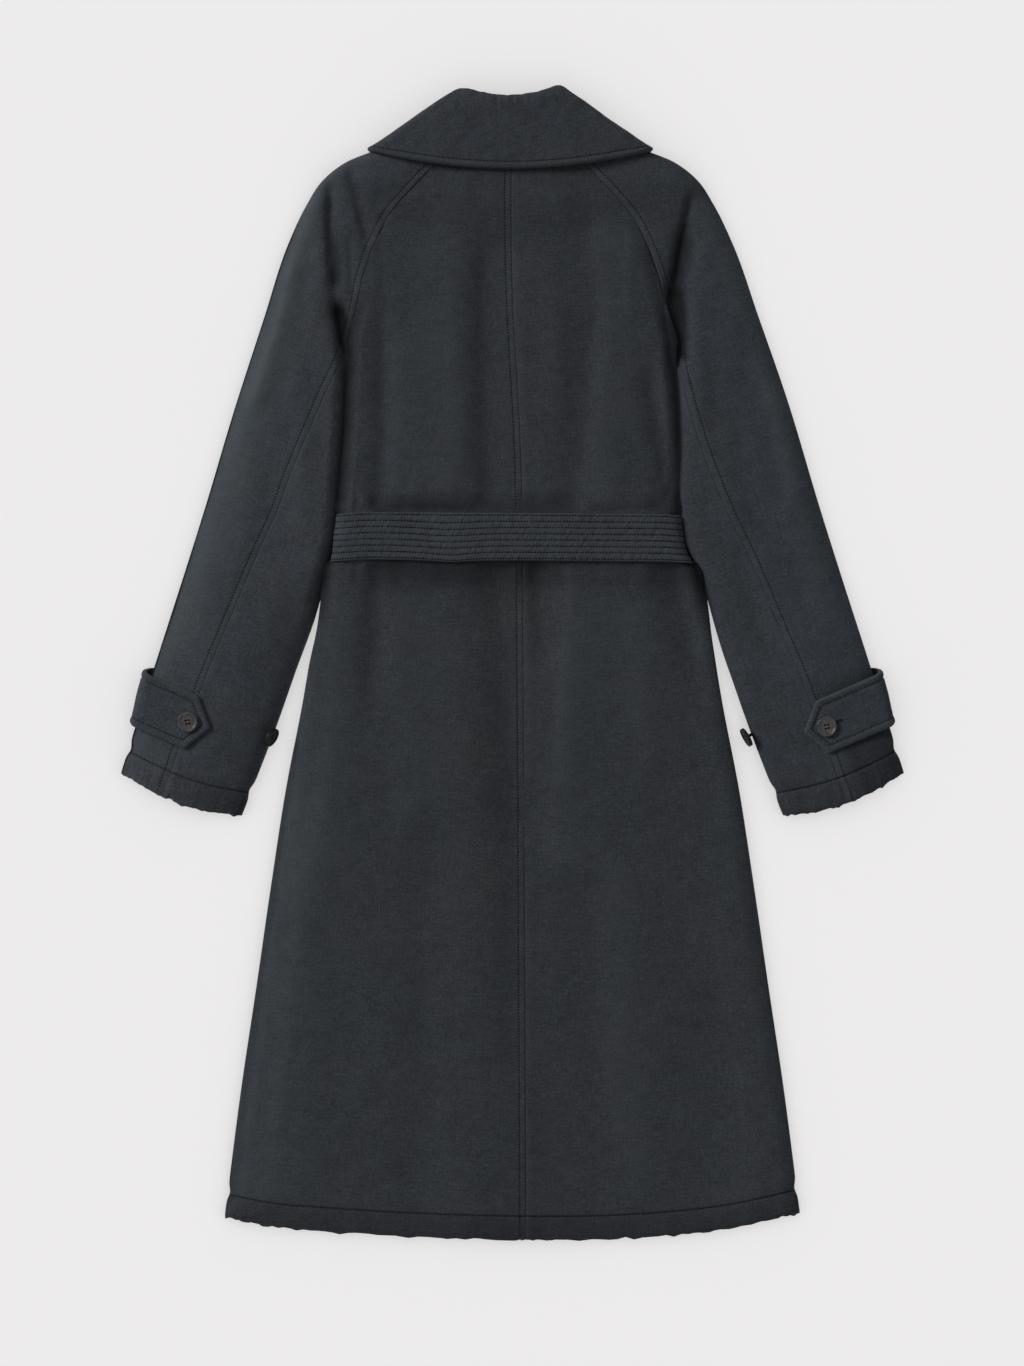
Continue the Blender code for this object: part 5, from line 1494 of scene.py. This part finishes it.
belt_half = BELT_WIDTH / 2
first_stitched = belt_half - BELT_EDGE
stitched_rows = np.linspace(first_stitched, -first_stitched, BELT_ROWS)
channel = stitched_rows[0] - stitched_rows[1]
fine_rows = joined(
    belt_half - BELT_EDGE * BELT_EDGE_SHARES,
    np.linspace(first_stitched, -first_stitched, BELT_FINE * (BELT_ROWS - 1) + 1),
    BELT_EDGE * BELT_EDGE_SHARES[::-1] - belt_half,
)
belt_outer, belt_inner, belt_wear_and_light = [], [], []
for row in fine_rows:
    phase = (first_stitched - row) / channel
    swell = BELT_EDGE_PUFF
    if abs(row) <= first_stitched:
        swell = np.abs(np.sin(math.pi * phase)) ** BELT_PUFF_CURVE
    to_edge = belt_half - abs(row)
    thick = BELT_WALL * rounded(to_edge, BELT_EDGE_ROUND)
    belt_outer.append(belt_path(row, thick + BELT_PUFF * swell))
    belt_inner.append(belt_path(row, 0.0))
    # Both long edges are paler from rubbing, the lower one much more: a painted highlight where its rolled
    # edge would fall into shade.
    edge_wear_and_highlight = UPPER_EDGE_WEAR if row > 0 else LOWER_EDGE_WEAR_AND_HIGHLIGHT
    wear_and_lighting = BELT_WORN * swell + edge_wear_and_highlight * groove(to_edge, BELT_EDGE_WORN)
    belt_wear_and_light.append(np.full(len(belt_outer[0]), wear_and_lighting))
belt_outer = np.array(belt_outer)
belt_x, belt_y, belt_z = np.moveaxis(belt_outer, -1, 0)
gather_x, gather_y = math.cos(GATHER_TURN), math.sin(GATHER_TURN)
along = (belt_x * gather_x + belt_y * gather_y) / GATHER_LENGTH
across = (belt_y * gather_x - belt_x * gather_y) / GATHER_WIDTH
lumps = lumpy(BELT_CREASES, along, across) + lumpy(BELT_LUMPS, belt_x, belt_y)
belt_outer[..., 2] += np.where(belt_z > BELT_LIFT + STACK, lumps, 0.0)
cloth = washed_cloth("belt_cloth", (0.15, 0.61, 0.6), 1.5, BELT_TONE)
piece = cloth_wall("belt_band", belt_outer, np.array(belt_inner), cloth, np.array(belt_wear_and_light))
belt_lines = []
for row in stitched_rows:
    line = belt_path(row, BELT_WALL)
    out_x, out_z = path_facing(line[:, 0], line[:, 2])
    shown = line[:, 2] > BELT_LIFT
    belt_lines.append((line[shown], stacked(out_x, 0.0, out_z)[shown]))
stitching = sewing("belt_sewing", belt_lines, BELT_THREAD)
laid_cloth(piece, "belt")

# Cuff straps. A pointed strap of doubled shell cloth with a fat, stitched edge on each sleeve. It lies on
# the cuff and loops loosely round the sleeve's outer edge, and its other end is sewn in underneath.
STRAP_WALL = 0.003
STRAP_UNDER = 0.045
STRAP_FOLD = 0.004
STRAP_SKEW = 0.010
STRAP_STITCH = 0.0076
STRAP_FOOT = 0.0310
STRAP_TOP_START = 0.0245
STRAP_FOOT_START = 0.0160
# The left strap is made lighter than the right one: painted light from the left.
STRAP_LIT_TONE = {-1: 1.22, 1: 1.04}
STRAP_INNER_Z = STRAP_LIFT + STACK + REST_GAP
STRAP_Z = STRAP_INNER_Z + STRAP_WALL
Strap = namedtuple("Strap", "across bulge")
STRAP_SHAPE = [
    Strap(across=-0.0250, bulge=0.0105),
    Strap(across=-0.0125, bulge=0.0100),
    Strap(across=0.0000, bulge=0.0095),
    Strap(across=0.0155, bulge=0.0080),
    Strap(across=0.0310, bulge=0.0070),
]
STRAP_RIDGES = [
    Ridge(at=0.0036, width=0.0030, height=0.0006),
    Ridge(at=STRAP_STITCH, width=0.0012, height=-0.0008),
]
STRAP_EDGE_ROUND = 0.0026
STRAP_FACE_TURN = 0.55 * STRAP_WALL
STRAP_LINING_TURN = 0.3 * STRAP_WALL
STRAP_WORN = [Ridge(at=0.0, width=0.002, height=0.35)]
STRAP_FINE = 0.14
STRAP_SHARES = joined(STRAP_FINE * opening(15), np.linspace(STRAP_FINE, 1.0, 50))[:-1]
STRAP_EDGE = 0.012
STRAP_LINES = joined(
    STRAP_TOP + STRAP_EDGE * opening(18),
    np.linspace(STRAP_TOP + STRAP_EDGE, STRAP_FOOT - STRAP_EDGE, 22),
    STRAP_FOOT - STRAP_EDGE * (1 - opening(18)),
)
LOOP_COLUMNS = 24
UNDER_STRAP_COLUMNS = 8
PAST_POINT = 0.1
OFF_FLOOR = 0.002
ON_SLEEVE = 0.010
STITCH_SLACK = 0.0004
UPPER_SLOPE = math.atan2(STRAP_TOP_START, -STRAP_TOP)
LOWER_SLOPE = math.atan2(STRAP_FOOT_START, STRAP_FOOT)


def strap_start(across):
    """Where a line along the strap starts, from the level of its point."""
    return np.where(across < 0, across * STRAP_TOP_START / STRAP_TOP, across * STRAP_FOOT_START / STRAP_FOOT)


def from_strap_edge(along, across):
    """Distance from a point of the strap to its nearest edge."""
    slope = np.where(across < 0, math.cos(UPPER_SLOPE), math.cos(LOWER_SLOPE))
    from_point = (along - strap_start(across)) * slope
    return np.minimum(from_point, np.minimum(across - STRAP_TOP, STRAP_FOOT - across))


def strap_row(side, across, level, outset):
    """Points and facings of one line along a strap, over the cuff, round the loop and under the sleeve."""
    tip, outward, sideways = strap_frame(side)
    edge_along, edge_across = on_strap(side, side * OUTER_LINE[TOP_ROWS:, 0, 0], OUTER_LINE[TOP_ROWS:, 0, 1])
    order = np.argsort(edge_across)
    edge = float(np.interp(across, edge_across[order], edge_along[order]))
    bulge = float(smooth_through(*zip(*STRAP_SHAPE), across))
    middle = STRAP_Z / 2
    centre = edge - STRAP_FOLD
    loop_x, loop_z = wrap(STRAP_FOLD + bulge - STRAP_WALL + level, middle - STRAP_WALL + level, LOOP_COLUMNS)
    begin = float(strap_start(across))
    over = begin + (centre - begin) * STRAP_SHARES
    under = np.linspace(centre, edge - STRAP_UNDER, UNDER_STRAP_COLUMNS + 1)[1:]
    along = np.concatenate([over, centre + loop_x, under])
    z = np.concatenate([STRAP_INNER_Z + level + 0 * over, middle + loop_z, STRAP_WALL - level + 0 * under])
    round_loop = np.linspace(0.0, 1.0, LOOP_COLUMNS + 1) ** 2
    slipped = STRAP_SKEW * np.concatenate([0 * over, round_loop, 1 + 0 * under])
    out_along, out_z = path_facing(-along, z)
    out_along = -out_along
    length = np.concatenate([over, np.full(len(loop_x) + len(under), PAST_POINT)])
    raised = outset(length, across) * np.where(z > OFF_FLOOR, 1.0, 0.0)
    point = tip + (along + out_along * raised)[:, None] * outward + (across - slipped)[:, None] * sideways
    facing = stacked(out_along * outward[0], out_along * outward[1], out_z)
    return stacked(point[:, 0], point[:, 1], z + out_z * raised), facing


def strap_face(along, across):
    """How far the strap's face stands above its flat: fat along the edge, sunk at the stitching."""
    edge = from_strap_edge(along, across)
    return ridges(STRAP_RIDGES, edge) - STRAP_FACE_TURN * (1 - rounded(edge, STRAP_EDGE_ROUND))


def strap_lining(along, across):
    return -STRAP_LINING_TURN * (1 - rounded(from_strap_edge(along, across), STRAP_EDGE_ROUND))


for side in (-1, 1):
    outer = np.array([strap_row(side, across, STRAP_WALL, strap_face)[0] for across in STRAP_LINES])
    inner = np.array([strap_row(side, across, 0.0, strap_lining)[0] for across in STRAP_LINES])
    wear_and_light = ridges(STRAP_WORN, from_strap_edge(*on_strap(side, outer[..., 0], outer[..., 1])))
    shift = (0.27 * side, 0.07, 0.7)
    cloth = washed_cloth(side_name("strap_cloth", side), shift, side * STRAP_TURN, STRAP_LIT_TONE[side])
    piece = cloth_wall(side_name("cuff_tab", side), outer, inner, cloth, wear_and_light)
    tip, outward, sideways = strap_frame(side)
    rows, corners = [], []
    for across in (STRAP_TOP + STRAP_STITCH, STRAP_FOOT - STRAP_STITCH):
        points, facing = strap_row(side, across, STRAP_WALL, strap_face)
        reach, wide = on_strap(side, points[:, 0], points[:, 1])
        clear = (points[:, 2] > ON_SLEEVE) & (from_strap_edge(reach, wide) > STRAP_STITCH - STITCH_SLACK)
        rows.append((points[clear], facing[clear]))
        corners.append((float(reach[clear][0]), float(wide[clear][0])))
    point_along = STRAP_STITCH / math.cos(LOWER_SLOPE) + STITCH_SLACK
    for corner_along, corner_across in corners:
        share = np.linspace(0.0, 1.0, 40)
        reach = corner_along + (point_along - corner_along) * share
        wide = corner_across * (1 - share)
        place = tip + reach[:, None] * outward + wide[:, None] * sideways
        rows.append((stacked(place[:, 0], place[:, 1], STRAP_Z + strap_face(reach, wide)), UP))
    stitching = sewing(side_name("strap_sewing", side), rows)
    laid_cloth(piece, side_name("cuff_strap", side))

# Buttons. Four of dark horn, turned with a raised rim and drilled with four holes. One fastens
# each strap, the right one in a corded hole, and one stands on a stem of thread at each sleeve's inner edge.
# The strap buttons are polished; the two at the edges are dull, and their horn is painted darker as painted
# shade.
BUTTON_RADIUS = 0.0102
BUTTON_THICK = 0.0034
BUTTON_REACH = 0.024
BUTTON_DROP = 0.004
BUTTON_SIDES = 64
BUTTON_SPIN = math.radians(12)
BUTTON_DROOP = 0.18
RIM_WIDTH = 0.0017
RIM_SLOPE = 0.4 * RIM_WIDTH
DISH_DEPTH = 0.0007
DISH_SINK = 0.3 * DISH_DEPTH
FOOT_INSET = 1.2 * RIM_WIDTH
FOOT_HEIGHT = 0.0002
FOOT_AREA = 1e-5
LEVEL_FACE = 0.9
SOFT_EDGE = 0.00045
SOFT_STEPS = 3
SOFT_ANGLE = math.radians(30)
SMOOTH_ANGLE = math.radians(40)
HOLE_RADIUS = 0.00112
HOLE_OFFSET = 0.0025
HOLE_SIDES = 20
HOLES = 4
STRAND_RADIUS = 0.00042
STRAND_SUNK = 0.0011
STRAND_ARCH = 0.0012
STEM_RADIUS = 0.0016
STEM_INSIDE = 0.0008
CORD_RADIUS = 0.0006
BUTTONHOLE_MIDDLE = 0.0355
BUTTONHOLE_LENGTH = 0.0100
BUTTONHOLE_HALF = 0.0009
SHORT_WAY = 0.005
EdgeButton = namedtuple("EdgeButton", "side y round seat tilt stem")
EDGE_BUTTONS = [
    EdgeButton(side=-1, y=-0.0765, round=36, seat=0.0004, tilt=66, stem=0.0016),
    EdgeButton(side=1, y=-0.0735, round=20, seat=0.0006, tilt=80, stem=0.0062),
]
HORN_SHADES = [
    Shade(stop=0.40, colour=(0.0160, 0.0155, 0.0160)),
    Shade(stop=0.58, colour=(0.0340, 0.0300, 0.0280)),
    Shade(stop=0.74, colour=(0.0800, 0.0560, 0.0360)),
]
HORN_CLOUDS = Pattern(size=0.006, detail=4.0, rough=0.6)
HORN_FINE = Pattern(size=0.0010, detail=2.0, rough=0.5)
HORN_BUMP = Bump(strength=0.08, depth=0.0003)
HORN_TURN = 0.7
Horn = namedtuple("Horn", "name tone finish")
HORNS = [
    Horn(
        name="polished_horn",
        tone=1.0,
        finish={"Roughness": 0.30, "Specular IOR Level": 0.5, "Coat Weight": 0.35, "Coat Roughness": 0.18},
    ),
    Horn(
        # The dull horn is the same horn, its colours darkened to three tenths: painted shade, as the edge
        # buttons' faces catch the light.
        name="dull_shaded_horn",
        tone=0.3,
        finish={"Roughness": 0.55, "Specular IOR Level": 0.08, "Coat Weight": 0.0, "Coat Roughness": 0.18},
    ),
]
POLISHED_HORN, DULL_SHADED_HORN = (
    clouded_material(
        horn.name, horn.finish, HORN_TURN, HORN_CLOUDS, HORN_SHADES, HORN_FINE, HORN_BUMP, horn.tone
    )
    for horn in HORNS
)


def select_faces(test):
    """In edit mode, selects the faces that pass a test and nothing else."""
    bpy.ops.mesh.select_mode(type="FACE")
    bpy.ops.mesh.select_all(action="DESELECT")
    mesh = bmesh.from_edit_mesh(bpy.context.object.data)
    for face in mesh.faces:
        face.select_set(bool(test(face)))
    bmesh.update_edit_mesh(bpy.context.object.data)


def turned_round(name, radius, depth, sides, place):
    """A round blank on the Z axis, the only thing selected."""
    bpy.ops.object.select_all(action="DESELECT")
    bpy.ops.mesh.primitive_cylinder_add(vertices=sides, radius=radius, depth=depth, location=place)
    bpy.context.object.name = name
    return bpy.context.object


def drilled_button():
    """The pattern that every button is copied from, face up on the floor."""
    middle = BUTTON_THICK / 2
    button = turned_round("button_pattern", BUTTON_RADIUS, BUTTON_THICK, BUTTON_SIDES, (0.0, 0.0, middle))
    bpy.ops.object.transform_apply(location=True)
    bpy.ops.object.mode_set(mode="EDIT")
    select_faces(lambda face: face.normal.z > LEVEL_FACE)
    bpy.ops.mesh.inset(thickness=RIM_WIDTH)
    for width, depth in ((RIM_SLOPE, DISH_DEPTH), (RIM_WIDTH, DISH_SINK)):
        bpy.ops.mesh.inset(thickness=width)
        bpy.ops.transform.translate(value=(0.0, 0.0, -depth))
    select_faces(lambda face: face.normal.z < -LEVEL_FACE)
    bpy.ops.mesh.inset(thickness=FOOT_INSET)
    select_faces(lambda face: face.normal.z < -LEVEL_FACE and face.calc_area() > FOOT_AREA)
    bpy.ops.mesh.extrude_region_move(TRANSFORM_OT_translate={"value": (0.0, 0.0, -FOOT_HEIGHT)})
    bpy.ops.object.mode_set(mode="OBJECT")
    softened = button.modifiers.new("softened", "BEVEL")
    softened.width = SOFT_EDGE
    softened.segments = SOFT_STEPS
    softened.limit_method = "ANGLE"
    softened.angle_limit = SOFT_ANGLE
    bpy.ops.object.modifier_apply(modifier=softened.name)
    for turn in range(HOLES):
        angle = 2 * math.pi * (turn + 0.5) / HOLES
        place = (HOLE_OFFSET * math.cos(angle), HOLE_OFFSET * math.sin(angle), middle)
        drill = turned_round("drill", HOLE_RADIUS, 4 * BUTTON_THICK, HOLE_SIDES, place)
        bpy.ops.object.select_all(action="DESELECT")
        button.select_set(True)
        bpy.context.view_layer.objects.active = button
        hole = button.modifiers.new("hole", "BOOLEAN")
        hole.operation = "DIFFERENCE"
        hole.solver = "EXACT"
        hole.object = drill
        bpy.ops.object.modifier_apply(modifier=hole.name)
        bpy.data.meshes.remove(drill.data)
    bpy.ops.object.shade_smooth_by_angle(angle=SMOOTH_ANGLE)
    return button


def thread_tube(name, points, radius, closed=False):
    """A smooth run of thread through the given points."""
    curve = bpy.data.curves.new(name, "CURVE")
    curve.dimensions = "3D"
    curve.bevel_depth = radius
    curve.bevel_resolution = 3
    curve.use_fill_caps = True
    spline = curve.splines.new("POLY")
    spline.use_cyclic_u = closed
    spline.points.add(len(points) - 1)
    for knot, place in zip(spline.points, points):
        knot.co = (*place, 1.0)
    holder = bpy.data.objects.new(name, curve)
    bpy.context.scene.collection.objects.link(holder)
    bpy.ops.object.select_all(action="DESELECT")
    holder.select_set(True)
    bpy.context.view_layer.objects.active = holder
    bpy.ops.object.convert(target="MESH")
    holder.data.materials.clear()
    holder.data.materials.append(THREAD)
    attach(holder, "root")


def sewn_button(name, node, centre, normal, horn, stem):
    """A copied button with the thread that goes through its holes and, where it stands off, its stem."""
    centre, normal = Vector(centre), Vector(normal)
    turn = Vector(UP).rotation_difference(normal).to_matrix()
    mesh = button_pattern.data.copy()
    mesh.name = name
    mesh.transform(Matrix.Translation(centre) @ turn.to_4x4() @ Matrix.Rotation(BUTTON_SPIN, 4, "Z"))
    mesh.materials.clear()
    mesh.materials.append(horn)
    button = bpy.data.objects.new(name, mesh)
    bpy.context.scene.collection.objects.link(button)
    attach(button, "root")
    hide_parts(node)
    half = HOLE_OFFSET * math.sin(math.pi / HOLES)
    foot = BUTTON_THICK - DISH_DEPTH - DISH_SINK - STRAND_SUNK
    for count, offset in enumerate((-half, half)):
        strand = []
        for angle in np.linspace(math.pi, 0.0, 13):
            arch = Vector((half * math.cos(angle), offset, foot + STRAND_ARCH * math.sin(angle)))
            strand.append(centre + turn @ arch)
        thread_tube(f"{name}_thread_{count}", strand, STRAND_RADIUS)
    if stem:
        below = [centre + normal * height for height in np.linspace(-stem, STEM_INSIDE, 6)]
        thread_tube(f"{name}_stem", below, STEM_RADIUS)


def edge_button_place(row):
    """Seat and facing of the button on the fold at the sleeve's inner edge."""
    x = float(edge_x(SLEEVE_INNER, row.y))
    slope = float(edge_x(SLEEVE_INNER, row.y + SHORT_WAY)) - x
    away = unit(np.array([-row.side * SHORT_WAY, slope]))
    tilt, turned = math.radians(row.tilt), math.radians(row.round)
    drooped = unit(away - np.array([0.0, BUTTON_DROOP]))
    normal = np.array([*(drooped * math.sin(tilt)), math.cos(tilt)])
    seat = np.array([row.side * x, row.y, float(sleeve_lift(row.side * x, row.y, row.side)) + STACK / 2])
    seat[:2] -= away * (ROLL * (1 - math.cos(turned)) + row.seat)
    seat[2] += STACK / 2 * math.sin(turned)
    return seat + normal * (row.stem + SEAM_GAP), normal


button_pattern = drilled_button()
for side in (-1, 1):
    tip, outward, sideways = strap_frame(side)
    place = tip + BUTTON_REACH * outward + BUTTON_DROP * sideways
    name = side_name("strap_fastener", side)
    node = side_name("strap_button", side)
    sewn_button(name, node, (*place, STRAP_Z + SEAM_GAP), UP, POLISHED_HORN, 0.0)
tip, outward, sideways = strap_frame(1)
corded = []
for angle in np.linspace(0.0, 2 * math.pi, 28, endpoint=False):
    half_length = math.copysign(BUTTONHOLE_LENGTH / 2, math.cos(angle))
    along = BUTTONHOLE_MIDDLE + half_length + BUTTONHOLE_HALF * math.cos(angle)
    place = tip + along * outward + (BUTTON_DROP + BUTTONHOLE_HALF * math.sin(angle)) * sideways
    corded.append((*place, STRAP_Z))
thread_tube("strap_buttonhole", corded, CORD_RADIUS, True)
for row in EDGE_BUTTONS:
    seat, normal = edge_button_place(row)
    name = side_name("cuff_spare", row.side)
    sewn_button(name, side_name("edge_button", row.side), seat, normal, DULL_SHADED_HORN, row.stem)
bpy.data.meshes.remove(button_pattern.data)

# Studio. A plain pale floor, one broad soft light from the upper left and an even light all round, with a
# long lens straight above, as the photograph was taken. The floor has its own light, so that the coat
# casts no hard shadow on it.
PIXEL = 0.0010426
PICTURE_HEIGHT = 1366
SENSOR = 36.0
CAMERA_PLACE = (-0.0005, -0.0203, 5.0)
FLOOR_SIZE = 60.0
FLOOR_DROP = 0.0002
PAPER_FINISH = {"Base Color": (0.80, 0.787, 0.793, 1.0), "Roughness": 0.9}
SKY = {"Color": (1.0, 1.0, 1.0, 1.0), "Strength": 0.48}
WINDOW_ENERGY = 3.4
WINDOW_BREADTH = math.radians(20)
WINDOW_WAY = (0.738, -0.416, -0.530)

bpy.ops.object.select_all(action="DESELECT")
bpy.ops.mesh.primitive_plane_add(size=FLOOR_SIZE, location=(0.0, 0.0, -FLOOR_DROP))
floor = bpy.context.object
floor.name = "floor"
floor.data.materials.append(new_material("pale_paper", PAPER_FINISH)[0])

sky = bpy.data.worlds.new("studio")
bpy.context.scene.world = sky
sky.use_nodes = True
for socket, value in SKY.items():
    sky.node_tree.nodes["Background"].inputs[socket].default_value = value


def floor_link(name, state):
    """A collection that takes the floor into a light's reach, or leaves only the floor out of it."""
    linked = bpy.data.collections.new(name)
    linked.objects.link(floor)
    linked.collection_objects[0].light_linking.link_state = state
    return linked


for name, state in (("window", "EXCLUDE"), ("paper_light", "INCLUDE")):
    light = bpy.data.lights.new(name, "SUN")
    light.energy = WINDOW_ENERGY
    light.angle = WINDOW_BREADTH
    window = bpy.data.objects.new(name, light)
    window.rotation_euler = Vector(WINDOW_WAY).to_track_quat("-Z", "Y").to_euler()
    bpy.context.scene.collection.objects.link(window)
    window.light_linking.receiver_collection = floor_link(f"{name}_receives", state)
    window.light_linking.blocker_collection = floor_link(f"{name}_blocks", state)

lens = bpy.data.cameras.new("camera")
lens.sensor_width = SENSOR
lens.lens = SENSOR * CAMERA_PLACE[2] / (PICTURE_HEIGHT * PIXEL)
camera = bpy.data.objects.new("camera", lens)
camera.location = CAMERA_PLACE
bpy.context.scene.collection.objects.link(camera)
bpy.context.scene.camera = camera
bpy.context.scene.view_settings.view_transform = "Standard"
